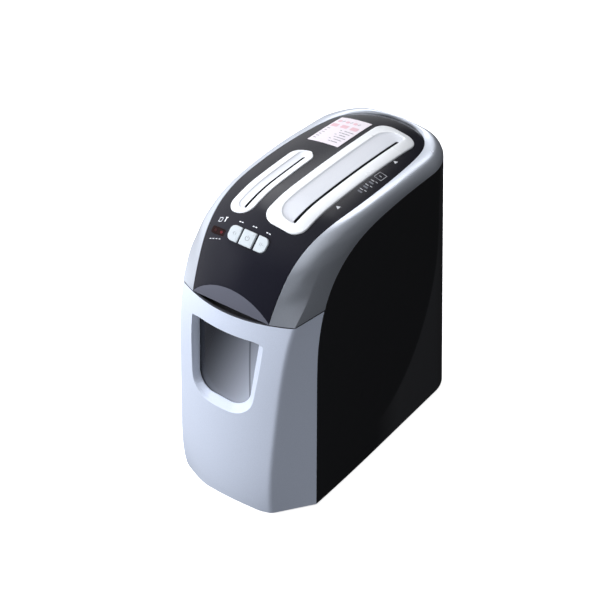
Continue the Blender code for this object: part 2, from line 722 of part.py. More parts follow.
def filleted(points, radii, steps=6):
    """A closed outline with each corner rounded by its own radius."""
    made = []
    for k, (x, z) in enumerate(points):
        here = np.array([x, z])
        ways = [np.array(points[n % len(points)]) - here for n in (k - 1, k + 1)]
        before, after = [way / np.linalg.norm(way) for way in ways]
        half_angle = math.acos(float(np.clip(before @ after, -1, 1))) / 2
        centre_way = (before + after) / np.linalg.norm(before + after)
        centre = here + centre_way * radii[k] / math.sin(half_angle)
        start = here + before * radii[k] / math.tan(half_angle) - centre
        end = here + after * radii[k] / math.tan(half_angle) - centre
        for n in range(steps + 1):
            way = start * (1 - n / steps) + end * n / steps
            made.append(tuple(centre + way / np.linalg.norm(way) * radii[k]))
    return made


def window_outline(share, grow=0.0):
    """The window's edge, moved in by a share of its bevels. Its right edge slants."""
    left, right, low, top = [bevel * share - grow for bevel in WINDOW_BEVELS]
    low_z, top_z = WINDOW_Z[0] + low, WINDOW_Z[1] - top
    right_top = WINDOW_X[1] - right - WINDOW_SLANT * (WINDOW_Z[1] - top_z)
    right_low = WINDOW_X[1] - right - WINDOW_SLANT * (WINDOW_Z[1] - low_z)
    left_x = WINDOW_X[0] + left
    corners = ((right_top, top_z), (right_low, low_z), (left_x, low_z), (left_x, top_z))
    rounds = (3.0, WINDOW_ROUNDS[1] - low, WINDOW_ROUNDS[0] - low, 3.0)
    return filleted(corners, rounds)


bin_front = slab(
    "bin_front",
    [bin_section(z, 0) for z in BIN_LEVELS],
    [bin_section(z, WALL) for z in BIN_LEVELS],
    SILVER,
)


def bow_slab(name, x, z, inset, look=None, columns=10, rows=6):
    xs = np.linspace(*x, columns + 1)
    zs = np.linspace(*z, rows + 1)
    return slab(name, *[[[(x, bow(x, v, i), v) for x in xs] for v in zs] for i in inset], look)


PAD_BACK = WINDOW_DEPTH + 1.5
pad_x = (WINDOW_X[0] - 6, WINDOW_X[1] + 6)
pad_z = (WINDOW_Z[0] - 8, WINDOW_Z[1] + 8)
frame_pad = bow_slab("frame_pad", pad_x, pad_z, (1.0, PAD_BACK))
boolean(frame_pad, prism("frame_plan", window_outline(0, 3.0), -240, -120, "Y"), "INTERSECT")


def window_ring(inset, share, flat=None):
    return [(x, bow(x, z, inset) if flat is None else flat, z) for x, z in window_outline(share)]


CUTTER_OUT = 3.0
out_share = -CUTTER_OUT / WINDOW_DEPTH
window_rings = [window_ring(0, out_share, -215.0), window_ring(-CUTTER_OUT, out_share)]
window_rings += [window_ring(WINDOW_DEPTH, 1), window_ring(0, 1, -150.0)]
window_cutter = loft("window_cutter", window_rings)
join(bin_front, frame_pad)
cut(bin_front, window_cutter)
glass_inset = PAD_BACK + FIT + 0.15
glass_x = (WINDOW_X[0] - 1, WINDOW_X[1] + 1)
glass_z = (WINDOW_Z[0] + 1, WINDOW_Z[1] - 1)
bin_window = bow_slab("bin_window", glass_x, glass_z, (glass_inset, glass_inset + 2), SMOKE)


def tub_plan(wall):
    """The tub's outline in plan, moved in by its wall."""
    slant = wall * 1.2
    left = [(TUB_X[0] + slant, TUB_REAR_Y - wall), (TUB_X[0] + slant, TUB_SHOULDER_Y + wall)]
    left.append((TUB_FRONT_X[0] + slant, TUB_FRONT_Y + wall))
    right = [(TUB_FRONT_X[1] - slant, TUB_FRONT_Y + wall), (TUB_X[1] - slant, TUB_SHOULDER_Y + wall)]
    return left + right + [(TUB_X[1] - slant, TUB_REAR_Y - wall)]


VIEW_X = (-48, 50)
bin_tub = prism("bin_tub", tub_plan(0), TUB_FLOOR_Z, TUB_TOP_Z, "Z", NYLON)
cut(bin_tub, prism("tub_inside", tub_plan(TUB_WALL), TUB_FLOOR_Z + TUB_WALL, TUB_TOP_Z + 5))
cut(bin_tub, block("tub_view", VIEW_X, (-170, -150), (WINDOW_Z[0] - 6, WINDOW_Z[1] - 2)))
apron = block("tub_apron", VIEW_X, (TUB_FRONT_Y, TUB_FRONT_Y + TUB_WALL), (TUB_TOP_Z - 5, LEDGE_Z))
shelf_front = [(x, bow(x, LEDGE_Z, WALL + FIT + 0.5)) for x in np.linspace(-54, 54, 9)]
shelf = prism("tub_shelf", shelf_front + [(54, -160.5), (-54, -160.5)], LEDGE_Z - 2.5, LEDGE_Z)
join(bin_tub, apron, shelf)

# Base, deck and feet
CHORD_SAG = 0.8  # the covers' round corners are flats, which cut in by this much


def floor_plan(z, front, alongs):
    """A plate that fills the body in plan at this height, behind the front points given."""
    inset = WALL + FIT + CHORD_SAG
    halves = []
    for side in (1, -1):
        half = [(side * x, y) for x, y in front]
        for along in alongs:
            x, y, normal = outline(along, z, side)
            half.append((side * (x - normal[0] * inset), y - normal[1] * inset))
        halves.append(half)
    return halves[0] + halves[1][::-1]


REAR_ALONGS = [0.0, 60.0] + [STRAIGHT_END + ARC_LENGTH * k / 5 for k in range(6)]
TRAY = 3.0
tray_plan = floor_plan(BASE_Z, [], [TUB_SHOULDER_Y, -60.0] + REAR_ALONGS)
base_tray = prism("base_tray", tray_plan, BASE_Z, BASE_Z + TRAY, "Z", BLACK)
for side in (-1, 1):
    rail = block("base_rail", sorted((side * 46, side * 50)), (-112, 118), (BASE_Z + 2, TUB_FLOOR_Z - FIT))
    join(base_tray, rail)
FOOT_R, PEG_R = 9.0, 3.0
FOOT_SPOTS = {"foot_fl": (-70, -98), "foot_fr": (70, -98), "foot_rl": (-62, 150), "foot_rr": (62, 150)}
foot_steps = ((0, FOOT_R - 1), (1, FOOT_R), (BASE_Z - FIT, FOOT_R), (BASE_Z - FIT, PEG_R))
foot_steps += ((BASE_Z + TRAY + 1.5, PEG_R),)
for name, (x, y) in FOOT_SPOTS.items():
    turned(name, (x, y), foot_steps, "Z", 16, RUBBER)
    cut(base_tray, rod(name + "_hole", (x, y), PEG_R + FIT, BASE_Z - 2, BASE_Z + 8, "Z"))

mid_deck = prism(
    "mid_deck",
    floor_plan(DECK_Z, [(56.0, -158.0), (84.0, -126.0)], [-100.0, -50.0] + REAR_ALONGS),
    DECK_Z,
    DECK_Z + PLATE,
    "Z",
    BLACK,
)
DROP_Y = FRONT_PLATE_Y + 7
cut(mid_deck, block("paper_drop", (1.5, 72), (DROP_Y, REAR_PLATE_Y - 4), (DECK_Z - 5, DECK_Z + 8)))
cut(mid_deck, block("disc_drop", (-58, -4), (DROP_Y, MIDDLE_PLATE_Y - 5), (DECK_Z - 5, DECK_Z + 8)))

# Mechanism frame
PLATES = (
    ("front_plate", (-62.0, 76.0), FRONT_PLATE_Y),
    ("middle_plate", (-62.0, -2.5), MIDDLE_PLATE_Y),
    ("rear_plate", (-64.0, 76.0), REAR_PLATE_Y),
)
plates = {}
for name, x, y in PLATES:
    plates[name] = block(name, x, (y, y + PLATE), (PLATE_FOOT_Z, PLATE_TOP_Z), STEEL)
BORE_R = SHAFT_R + BORE_GAP
BORED = {"front_plate": PAPER_AXES + DISC_AXES, "middle_plate": DISC_AXES, "rear_plate": PAPER_AXES}
for name, axes in BORED.items():
    for x in axes:
        cut(plates[name], rod(name + "_bore", (x, AXIS_Z), BORE_R, -150, 150))

rod_span = (FRONT_PLATE_Y + PLATE + FIT, REAR_PLATE_Y - FIT)
short_span = (rod_span[0], MIDDLE_PLATE_Y - FIT)
for name, x, z, span in (
    ("tie_rod_right", 72.0, 346.0, rod_span),
    ("tie_rod_centre", 8.0, 348.0, rod_span),
    ("tie_rod_left", -57.5, 347.0, short_span),
):
    rod(name, (x, z), 3, span[0], span[1], "Y", 10, STEEL)

# Cutters
RING_POINTS = 12


def cutter(name, x, ends, drum, centres, disc_r, root_r):
    """A shaft with a drum, and toothed discs at these places along it."""

    def ring(y, tip, low):
        points = []
        for k in range(RING_POINTS):
            turn = 2 * math.pi * (k + (0.3 if k % 2 else 0)) / RING_POINTS
            r = tip if k % 2 == 0 else low
            points.append((x + r * math.cos(turn), y, AXIS_Z + r * math.sin(turn)))
        return points

    def step(y, first, second):
        return [ring(y, *first), ring(y, *second)]

    shaft, root, tooth = (SHAFT_R, SHAFT_R), (root_r, root_r), (disc_r, disc_r * 0.84)
    rings = [ring(ends[0], *shaft)] + step(drum[0], shaft, root)
    for y in centres:
        rings += step(y - DISC_THICK / 2, root, tooth) + step(y + DISC_THICK / 2, tooth, root)
    rings += step(drum[1], root, shaft) + [ring(ends[1], *shaft)]
    return loft(name, rings, STEEL, (x, 0.0, AXIS_Z))


PITCH, DISC_THICK = 20.0, 9.0
GEAR_HOLD = GEAR_WIDE + 1
paper_drum = (FRONT_PLATE_Y + PLATE + RUN, REAR_PLATE_Y - RUN)
disc_drum = (FRONT_PLATE_Y + PLATE + RUN, MIDDLE_PLATE_Y - RUN)
left_discs = [paper_drum[0] + 14.5 + PITCH * k for k in range(11)]
right_discs = [y + PITCH / 2 for y in left_discs]
paper_r, paper_root = 20.0, 12.0
disc_r, disc_root = 14.0, 8.0
front_end, low_end = FRONT_PLATE_Y - 8, FRONT_PLATE_Y + 0.5
DISC_GEAR_Y = MIDDLE_PLATE_Y + PLATE + 1.5
disc_left_discs = [y for y in left_discs if y < MIDDLE_PLATE_Y - 17]
disc_right_discs = [y for y in right_discs if y < MIDDLE_PLATE_Y - 12]
paper_ends = ((front_end, GEAR_LAYERS[1] + GEAR_HOLD), (low_end, GEAR_LAYERS[0] + GEAR_HOLD))
disc_ends = ((low_end, DISC_GEAR_Y + GEAR_HOLD), (front_end, DISC_GEAR_Y + GEAR_HOLD))
cutter("paper_cutter_left", PAPER_AXES[0], paper_ends[0], paper_drum, left_discs, paper_r, paper_root)
cutter("paper_cutter_right", PAPER_AXES[1], paper_ends[1], paper_drum, right_discs, paper_r, paper_root)
cutter("disc_cutter_left", DISC_AXES[0], disc_ends[0], disc_drum, disc_left_discs, disc_r, disc_root)
cutter("disc_cutter_right", DISC_AXES[1], disc_ends[1], disc_drum, disc_right_discs, disc_r, disc_root)


def comb(name, x, side, discs, span, root_r, disc_r):
    """Fingers that stand in the spaces between one shaft's discs, on a bar below them."""
    top = AXIS_Z - root_r - 1.3
    bar_z = AXIS_Z - disc_r - 2.5
    bar_x = sorted((x + side * 5, x + side * (disc_r - 3)))
    made = block(name, bar_x, span, (bar_z - 4, bar_z), NYLON)
    for k, y in enumerate(discs[:-1]):
        finger_x = sorted((x + side * 6, x + side * 11))
        join(made, block(f"{name}_finger_{k}", finger_x, (y + 7, y + 13), (bar_z - 1, top)))
    return made


comb("paper_comb_left", PAPER_AXES[0], -1, left_discs, rod_span, paper_root, paper_r)
comb("paper_comb_right", PAPER_AXES[1], 1, right_discs, rod_span, paper_root, paper_r)
comb("disc_comb_left", DISC_AXES[0], -1, disc_left_discs, short_span, disc_root, disc_r)
comb("disc_comb_right", DISC_AXES[1], 1, disc_right_discs, short_span, disc_root, disc_r)

# Gears
TOOTH_TIP, TOOTH_ROOT = 0.8, 1.05
TOOTH_TIP_SHARE, TOOTH_ROOT_SHARE = 0.2, 0.62


def gear_outline(x, z, teeth, pitch_r, phase):
    module = 2 * pitch_r / teeth
    step = 2 * math.pi / teeth
    points = []
    for k in range(teeth):
        middle = phase + k * step
        for r, share in (
            (pitch_r - TOOTH_ROOT * module, -TOOTH_ROOT_SHARE),
            (pitch_r + TOOTH_TIP * module, -TOOTH_TIP_SHARE),
            (pitch_r + TOOTH_TIP * module, TOOTH_TIP_SHARE),
            (pitch_r - TOOTH_ROOT * module, TOOTH_ROOT_SHARE),
        ):
            turn = middle + share * step / 2
            points.append((x + r * math.cos(turn), z + r * math.sin(turn)))
    return points


def gear(name, x, z, teeth, pitch_r, phase, y, bore):
    made = prism(name, gear_outline(x, z, teeth, pitch_r, phase), y, y + GEAR_WIDE, "Y", NYLON, (x, y, z))
    return cut(made, rod(name + "_bore", (x, z), bore, y - 3, y + GEAR_WIDE + 3))


def meshed(phase, teeth, follower_teeth, way):
    """Phase of a gear that meshes with one of this phase, in the direction `way` from it."""
    place = (way - phase) * teeth / (2 * math.pi)
    return way + math.pi - (0.5 - place) * 2 * math.pi / follower_teeth


sync_r = (PAPER_AXES[1] - PAPER_AXES[0]) / 2
transfer_r = (PAPER_AXES[0] - DISC_AXES[1]) / 2
disc_sync_r = (DISC_AXES[1] - DISC_AXES[0]) / 2
left_x, right_x = PAPER_AXES
GEAR_BORE = SHAFT_R + FIT
gear("paper_sync_gear_left", left_x, AXIS_Z, SYNC_TEETH, sync_r, 0, GEAR_LAYERS[0], GEAR_BORE)
sync_phase = meshed(0, SYNC_TEETH, SYNC_TEETH, 0)
gear("paper_sync_gear_right", right_x, AXIS_Z, SYNC_TEETH, sync_r, sync_phase, GEAR_LAYERS[0], GEAR_BORE)
front_layer = FRONT_PLATE_Y - 1 - GEAR_WIDE
gear("transfer_gear_paper", left_x, AXIS_Z, TRANSFER_TEETH, transfer_r, 0, front_layer, GEAR_BORE)
transfer_phase = meshed(0, TRANSFER_TEETH, TRANSFER_TEETH, math.pi)
mate_x = DISC_AXES[1]
gear("transfer_gear_disc", mate_x, AXIS_Z, TRANSFER_TEETH, transfer_r, transfer_phase, front_layer, GEAR_BORE)
gear("disc_sync_gear_right", mate_x, AXIS_Z, DISC_SYNC_TEETH, disc_sync_r, 0, DISC_GEAR_Y, GEAR_BORE)
disc_phase = meshed(0, DISC_SYNC_TEETH, DISC_SYNC_TEETH, math.pi)
far_x = DISC_AXES[0]
gear("disc_sync_gear_left", far_x, AXIS_Z, DISC_SYNC_TEETH, disc_sync_r, disc_phase, DISC_GEAR_Y, GEAR_BORE)
gear("drive_gear", left_x, AXIS_Z, DRIVE_TEETH, DRIVE_R, 0, GEAR_LAYERS[1], GEAR_BORE)

# The idler stands where both of its meshes close, above the line from the motor to the drive gear
span_x = left_x - MOTOR_X
motor_reach, drive_reach = PINION_R + BIG_R, SMALL_R + DRIVE_R
along_x = (motor_reach**2 - drive_reach**2 + span_x**2) / (2 * span_x)
idler_x, idler_z = MOTOR_X + along_x, AXIS_Z + math.sqrt(motor_reach**2 - along_x**2)
small_way = math.atan2(idler_z - AXIS_Z, idler_x - left_x)
small_phase = meshed(0, DRIVE_TEETH, SMALL_TEETH, small_way)
AXLE_R = 3.5
idler_gear = prism(
    "idler_gear",
    gear_outline(idler_x, idler_z, SMALL_TEETH, SMALL_R, small_phase),
    GEAR_LAYERS[1],
    GEAR_LAYERS[2] + 1,
    "Y",
    NYLON,
    (idler_x, GEAR_LAYERS[1], idler_z),
)
big_plan = gear_outline(idler_x, idler_z, BIG_TEETH, BIG_R, 0)
join(idler_gear, prism("idler_big", big_plan, GEAR_LAYERS[2], GEAR_LAYERS[2] + GEAR_WIDE, "Y"))
cut(idler_gear, rod("idler_bore", (idler_x, idler_z), AXLE_R + BORE_GAP, 130, 170))
axle_foot, axle_rim = REAR_PLATE_Y + PLATE + FIT, REAR_PLATE_Y + PLATE + 2
axle_steps = ((axle_foot, 7), (axle_rim, 7), (axle_rim, AXLE_R), (GEAR_LAYERS[2] + GEAR_WIDE + 2, AXLE_R))
turned("idler_axle", (idler_x, idler_z), axle_steps, "Y", 12, STEEL)

motor_way = math.atan2(AXIS_Z - idler_z, MOTOR_X - idler_x)
pinion_phase = meshed(0, BIG_TEETH, PINION_TEETH, motor_way)
MOTOR_SHAFT_R = 2.5
motor_end = REAR_PLATE_Y - FIT
motor_pinion = prism(
    "motor_pinion",
    gear_outline(MOTOR_X, AXIS_Z, PINION_TEETH, PINION_R, pinion_phase),
    GEAR_LAYERS[2],
    GEAR_LAYERS[2] + GEAR_WIDE,
    "Y",
    STEEL,
    (MOTOR_X, GEAR_LAYERS[2], AXIS_Z),
)
join(motor_pinion, rod("motor_shaft", (MOTOR_X, AXIS_Z), MOTOR_SHAFT_R, motor_end - 5, GEAR_LAYERS[2] + 3))
cut(plates["rear_plate"], rod("shaft_room", (MOTOR_X, AXIS_Z), 6, 120, 140))
motor_start = DISC_GEAR_Y + 10
motor_steps = ((motor_start, 10), (motor_start + 4, 10), (motor_start + 4, MOTOR_R - 2))
motor_steps += ((motor_start + 6, MOTOR_R), (motor_end, MOTOR_R))
motor = turned("motor", (MOTOR_X, AXIS_Z), motor_steps, "Y", 24, STEEL)
cut(motor, rod("motor_bore", (MOTOR_X, AXIS_Z), MOTOR_SHAFT_R + 0.6, motor_end - 7, motor_end + 5))
SCREW_R = 1.4
for k, side in enumerate((-1, 1)):
    spot = (MOTOR_X + side * 15, AXIS_Z)
    screw_steps = ((motor_end - 5, SCREW_R), (REAR_PLATE_Y + PLATE + FIT, SCREW_R))
    screw_steps += ((REAR_PLATE_Y + PLATE + FIT, 3), (REAR_PLATE_Y + PLATE + 2, 3))
    turned(f"motor_screw_{k + 1}", spot, screw_steps, "Y", 8, STEEL)
    room = rod(f"motor_screw_room_{k}", spot, SCREW_R + FIT, motor_end - 6, 140, "Y", 8)
    cut(motor, room)
    cut(plates["rear_plate"], room)

# Throats and their sensing levers
THROAT_TOP_Z = 376.0


def throat(name, slit_x, span, low_z, side, lever_y):
    """A tube from a slot to its cutters, with lugs for a lever on one side."""
    inner, outer = SLIT / 2, SLIT / 2 + 2.5
    made = block(name, (slit_x - outer, slit_x + outer), span, (low_z, THROAT_TOP_Z), NYLON)
    way_y, way_z = (span[0] + 3, span[1] - 3), (low_z - 5, THROAT_TOP_Z + 5)
    cut(made, block(name + "_way", (slit_x - inner, slit_x + inner), way_y, way_z))
    pivot_x, pivot_z = slit_x + side * 10.5, THROAT_TOP_Z - 10
    slot_x = sorted((slit_x + side * (inner - 1), slit_x + side * (outer + 1)))
    slot_z = (THROAT_TOP_Z - 24, THROAT_TOP_Z - 6)
    cut(made, block(name + "_slot", slot_x, (lever_y - 2.5, lever_y + 2.5), slot_z))
    lug_x = sorted((slit_x + side * (outer - 0.5), pivot_x + side * 3.5))
    for k, y in enumerate((lever_y - 7, lever_y + 4)):
        lug = block(f"{name}_lug_{k}", lug_x, (y, y + 3), (pivot_z - 3.5, pivot_z + 3.5))
        join(made, lug)
    cut(made, rod(name + "_pivot_hole", (pivot_x, pivot_z), 1.8 + FIT, lever_y - 9, lever_y + 9, "Y", 10))
    lever_name = name.replace("throat", "sensor_lever")
    lever = rod(lever_name, (pivot_x, pivot_z), 1.8, lever_y - 7, lever_y + 7, "Y", 10, BLACK)
    arm_x = sorted((slit_x + side * 0.5, pivot_x))
    join(lever, block(name + "_arm", arm_x, (lever_y - 1.5, lever_y + 1.5), (pivot_z - 1, pivot_z + 1)))
    return made


throat("paper_throat", PAPER_SLIT_X, rod_span, AXIS_Z + paper_r + RUN, 1, 62.0)
throat("disc_throat", DISC_SLIT_X, short_span, AXIS_Z + disc_r + 4, -1, -30.0)

# Electrics
PLUNGER_Z = (268.0, 276.0)
PLUNGER_HALF = 3.0
switch_x, switch_y = (-9, 9), (TUB_REAR_Y + 6, 150.0)
interlock_switch = block("interlock_switch", switch_x, switch_y, (PLUNGER_Z[0] - 6, DECK_Z - FIT), BLACK)
room_x = (-PLUNGER_HALF - FIT, PLUNGER_HALF + FIT)
room_z = (PLUNGER_Z[0] - FIT, PLUNGER_Z[1] + FIT)
cut(interlock_switch, block("plunger_room", room_x, (TUB_REAR_Y, switch_y[1] - 4), room_z))
plunger_y = TUB_REAR_Y + 0.5
plunger_at = (0, plunger_y, sum(PLUNGER_Z) / 2)
plunger_x = (-PLUNGER_HALF, PLUNGER_HALF)
block("interlock_plunger", plunger_x, (plunger_y, switch_y[1] - 10), PLUNGER_Z, WHITE, plunger_at)

board_out = -BUTTON_TALL - BUTTON_TRAVEL - 4.5
board_plan = [(-40, -13), (38, -13), (38, 13), (-40, 13)]
control_board = slope_prism("control_board", board_plan, board_out - 1.6, board_out, centre_origin, BOARD)
tact_top = -BUTTON_TALL - BUTTON_TRAVEL - 0.4
for index, edges in enumerate(BUTTON_EDGES):
    x = sum(edges) / 2
    tact = [(x - 3, -3), (x + 3, -3), (x + 3, 3), (x - 3, 3)]
    join(control_board, slope_prism(f"tact_{index}", tact, board_out - 0.5, tact_top, centre_origin))
for x, along in ((35.5, 0.0), (-33.0, -10.0)):
    under = (panel_z(x, BUTTON_Y) - centre_origin[2]) * math.cos(BUTTON_TILT) - WALL - 1.3
    post = [(x - 1.5, along - 1.5), (x + 1.5, along - 1.5), (x + 1.5, along + 1.5), (x - 1.5, along + 1.5)]
    join(control_board, slope_prism("board_post", post, board_out - 0.5, under, centre_origin))

power_board = block("power_board", (-50, 45), (-152, -125), (298, 299.6), BOARD)
for k, (x, y, z) in enumerate((((-30, -4), (-149, -129), (299, 319)), ((8, 20), (-146, -134), (299, 314)))):
    join(power_board, block(f"power_part_{k}", x, y, z))
for x in (-46, 41):
    join(power_board, block("power_post", (x - 2, x + 2), (-142, -138), (DECK_Z + PLATE + FIT, 298.5)))

GLAND_X, GLAND_Z, GLAND_R = 28.0, 48.0, 8.0
gland_seat = REAR_Y - WALL - FIT
gland_steps = ((gland_seat - 8, 6), (gland_seat - 3, GLAND_R + 3), (gland_seat, GLAND_R + 3))
gland_steps += ((gland_seat, GLAND_R), (REAR_Y - 0.2, GLAND_R))
cord_gland = turned("cord_gland", (GLAND_X, GLAND_Z), gland_steps, "Y", 16, RUBBER)
cut(cord_gland, rod("cord_way", (GLAND_X, GLAND_Z), 3.6, 170, 200, "Y", 12))
cut(rear_cover, rod("gland_hole", (GLAND_X, GLAND_Z), GLAND_R + FIT, 180, 200))
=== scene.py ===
"""Looks of the paper and disc shredder. Shapes are in millimetres until a mesh is made from them."""

import json
import math

import bmesh
import bpy
import numpy as np
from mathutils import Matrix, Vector


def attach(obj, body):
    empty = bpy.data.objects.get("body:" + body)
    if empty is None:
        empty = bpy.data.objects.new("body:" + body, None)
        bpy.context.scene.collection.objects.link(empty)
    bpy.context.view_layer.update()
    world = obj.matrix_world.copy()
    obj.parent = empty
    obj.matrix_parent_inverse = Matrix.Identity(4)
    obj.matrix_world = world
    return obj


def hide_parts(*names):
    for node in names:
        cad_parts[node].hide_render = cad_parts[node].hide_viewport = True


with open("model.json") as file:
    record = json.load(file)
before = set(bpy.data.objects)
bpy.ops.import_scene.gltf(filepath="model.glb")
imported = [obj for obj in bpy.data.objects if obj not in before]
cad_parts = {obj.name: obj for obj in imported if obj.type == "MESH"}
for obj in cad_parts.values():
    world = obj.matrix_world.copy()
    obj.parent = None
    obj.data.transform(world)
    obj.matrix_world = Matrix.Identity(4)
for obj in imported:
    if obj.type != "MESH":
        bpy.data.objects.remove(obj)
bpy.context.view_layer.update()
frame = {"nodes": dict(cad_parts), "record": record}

MM = 0.001
NODES = frame["nodes"]

# Sizes of the body, the same as the CAD's except for two that keep the finer shapes inside its box:
# BULGE here and BEZEL_RISE further down are a little less than the CAD's
REAR_Y, SIDE_X, SIDE_TAPER = 191.0, 95.5, 2.5
FRONT_Y, BULGE = -185.2, 5.72
BASE_Z, SEAM_Z, WALL, GAP = 4.0, 307.0, 3.0, 0.3
BIN_MIDDLE_Z, BIN_HALF_TALL = (BASE_Z + SEAM_Z) / 2, (SEAM_Z - BASE_Z) / 2
ARCH_START, ARCH_TILT = (-175.4, 307.3), 69.1
ARCH = ((231.7, 13.8), (88.7, 43.7), (188.7, 13.6), (2000.0, 6.0))
CROWN, PANEL_W, PANEL_TAPER = 11.0, 74.2, 17.8
PANEL_ROUND_Y, PANEL_TIP_Y, SCOOP_Y = 89.0, 182.0, -175.2
PANEL_MIDDLE_Y, PANEL_HALF_LONG, PANEL_TIP_POWER = 7.5, 180.0, 2.2
CORNER_LOW, CORNER_GROWTH, CORNER_TOP = 50.0, 28.0 / 375.0, 78.0
STRAIGHT_END = REAR_Y - CORNER_TOP
ARC_LENGTH = CORNER_TOP * math.pi / 2
REAR_FLAT = SIDE_X - CORNER_TOP
OUTLINE_END = STRAIGHT_END + ARC_LENGTH + REAR_FLAT
COVER_SPLIT = STRAIGHT_END + CORNER_TOP * math.radians(62)
EDGE_LOW_Z, EDGE_TOP_Z, EDGE_Y, EDGE_CENTRE_Y = 191.0, 376.8, -128.0, 30.0
EDGE_DROP, EDGE_DROP_LONG = 5.5, 130.0
CREASE_LOW, CREASE_SPREAD = 57.0, 27.4
LEFT_CREASE, LEFT_FLARE, LEFT_FLARE_Z = 78.5, 9.0, 250.0
BOW, BOW_MID = 1 / 308.0, 1 / 430.0
BIN_ARCH_HALF, BIN_ARCH_RISE, BIN_ARCH_FADE = 42.0, 4.5, 60.0
WINDOW_X, WINDOW_Z, WINDOW_SLANT = (-54.2, 51.8), (158.0, 277.5), 0.132
WINDOW_ROUNDS, WINDOW_DEPTH = (30.0, 38.0), 9.5
WINDOW_BEVELS = (5.0, 9.5, 8.0, 6.0)  # left, right, low and top

# Painted light on the side covers, and painted light and shade in the window
STRIPE_CENTRE, STRIPE_REACH = (-24.0, 280.0), (157.5, 236.0)  # (y, z) of the line's ellipse on the sides
STRIPE_FADE_Y = 50.0
GLASS_X, GLASS_Z = (-50.0, 45.0), (165.0, 272.0)  # where the painted light in the window starts and ends
GLASS_SHARES, GLASS_DARK = (0.75, 0.35), 0.15  # how much each way adds, and the sum that is still dark
# The thin line of painted shade in the window: where it is, where it starts and ends fading, and how much it
# darkens
GLASS_LINE_X, GLASS_LINE_HALF, GLASS_LINE_SHADE = 28.5, (0.3, 1.6), 0.6
BIN_TOP_Z = SEAM_Z - GAP - 0.4  # the seam shows a little wider than the CAD's gap


# Shape of the body
def arch(s):
    """(y, z, slope) of the panel edge at this length from the seam."""
    y, z, a = ARCH_START[0], ARCH_START[1], math.radians(ARCH_TILT)
    for r, degrees in ARCH:
        turn = min(math.radians(degrees), s / r)
        y += r * (math.sin(a) - math.sin(a - turn))
        z += r * (math.cos(a - turn) - math.cos(a))
        a -= turn
        s -= turn * r
    return y + s * math.cos(a), z + s * math.sin(a), a


ARCH_S = np.linspace(0, 420, 1681)
ARCH_Y, ARCH_Z, ARCH_A = np.array([arch(s) for s in ARCH_S]).T
ROUND_SHARE = np.clip((ARCH_Y - PANEL_ROUND_Y) / (PANEL_TIP_Y - PANEL_ROUND_Y), 0, 1)
TAPERED = PANEL_W - PANEL_TAPER * ((ARCH_Y - PANEL_MIDDLE_Y) / PANEL_HALF_LONG) ** 2
HALF_WIDTH = TAPERED * (1 - ROUND_SHARE**4) ** (1 / PANEL_TIP_POWER)
CROWN_HIGH = CROWN * (1 - ROUND_SHARE**4)


def station(y):
    """Length from the seam along the panel edge."""
    return float(np.interp(y, ARCH_Y, ARCH_S))


def half_width(y):
    """Half the panel's width."""
    return float(np.interp(y, ARCH_Y, HALF_WIDTH))


def panel_point(u, s, rise=0.0):
    """A point on the crowned panel: u runs from -1 to 1 across it. The underside stays behind the scoop."""
    y, z, a = arch(s)
    high = float(np.interp(s, ARCH_S, CROWN_HIGH)) * (1 - u * u) + rise
    point_y = y - math.sin(a) * high
    return (u * half_width(y), max(point_y, SCOOP_Y - rise) if rise < 0 else point_y, z + math.cos(a) * high)


def panel_z(x, y, rise=0.0):
    """Height of the panel surface at (x, y)."""
    u = np.minimum(abs(x) / np.maximum(HALF_WIDTH, 1), 1)
    high = CROWN_HIGH * (1 - u * u) + rise
    return float(np.interp(y, ARCH_Y - np.sin(ARCH_A) * high, ARCH_Z + np.cos(ARCH_A) * high))


def corner(z):
    """Radius of the rear corners."""
    return CORNER_LOW + CORNER_GROWTH * z


def outline(along, z, side=1):
    """(distance from x = 0, y, normal) of one side of the body in plan, `along` it from y = 0."""
    r = corner(z)
    centre_y = REAR_Y - r
    trim = 0 if side > 0 else float(np.interp(along, KEY_COLUMNS[4], KEY_COLUMNS[8]))
    if along <= 0:
        return SIDE_X - trim - SIDE_TAPER * (along / EDGE_Y) ** 2, along, (1.0, 0.0)
    if along <= STRAIGHT_END:
        return SIDE_X - trim, along * centre_y / STRAIGHT_END, (1.0, 0.0)
    if along <= STRAIGHT_END + ARC_LENGTH:
        a = (along - STRAIGHT_END) / CORNER_TOP
        return SIDE_X - r + (r - trim) * math.cos(a), centre_y + r * math.sin(a), (math.cos(a), math.sin(a))
    share = max(1 - (along - STRAIGHT_END - ARC_LENGTH) / REAR_FLAT, 0)
    return (SIDE_X - r) * share, REAR_Y, (0.0, 1.0)


def edge_z(along):
    """Height of the line where silver meets black."""
    if along < EDGE_CENTRE_Y:
        share = min((EDGE_CENTRE_Y - along) / (EDGE_CENTRE_Y - EDGE_Y), 1)
        return EDGE_LOW_Z + (EDGE_TOP_Z - EDGE_LOW_Z) * (1 - share**3) ** (1 / 3)
    share = min((along - EDGE_CENTRE_Y) / EDGE_DROP_LONG, 1)
    return EDGE_TOP_Z - EDGE_DROP * (1 - math.cos(math.pi * share)) / 2


def edge_y(z):
    """Place of that line beside the bin, by height."""
    share = max((z - EDGE_LOW_Z) / (EDGE_TOP_Z - EDGE_LOW_Z), 0)
    return EDGE_CENTRE_Y - (EDGE_CENTRE_Y - EDGE_Y) * (1 - share**3) ** (1 / 3)


def bow(x, z, inset=0.0):
    """y of the bin's bowed front."""
    swell = max(1 - abs((z - BIN_MIDDLE_Z) / BIN_HALF_TALL) ** 4, 0)
    return FRONT_Y - BULGE * swell + (BOW + (BOW_MID - BOW) * swell) * x * x + inset


def crease(z):
    """Where the bowed front ends on the right."""
    return CREASE_LOW + CREASE_SPREAD * ((z - BASE_Z) / (SEAM_Z - BASE_Z)) ** 1.25


def left_crease(z):
    """Where it ends on the left."""
    return -LEFT_CREASE - LEFT_FLARE * max(1 - z / LEFT_FLARE_Z, 0) ** 2


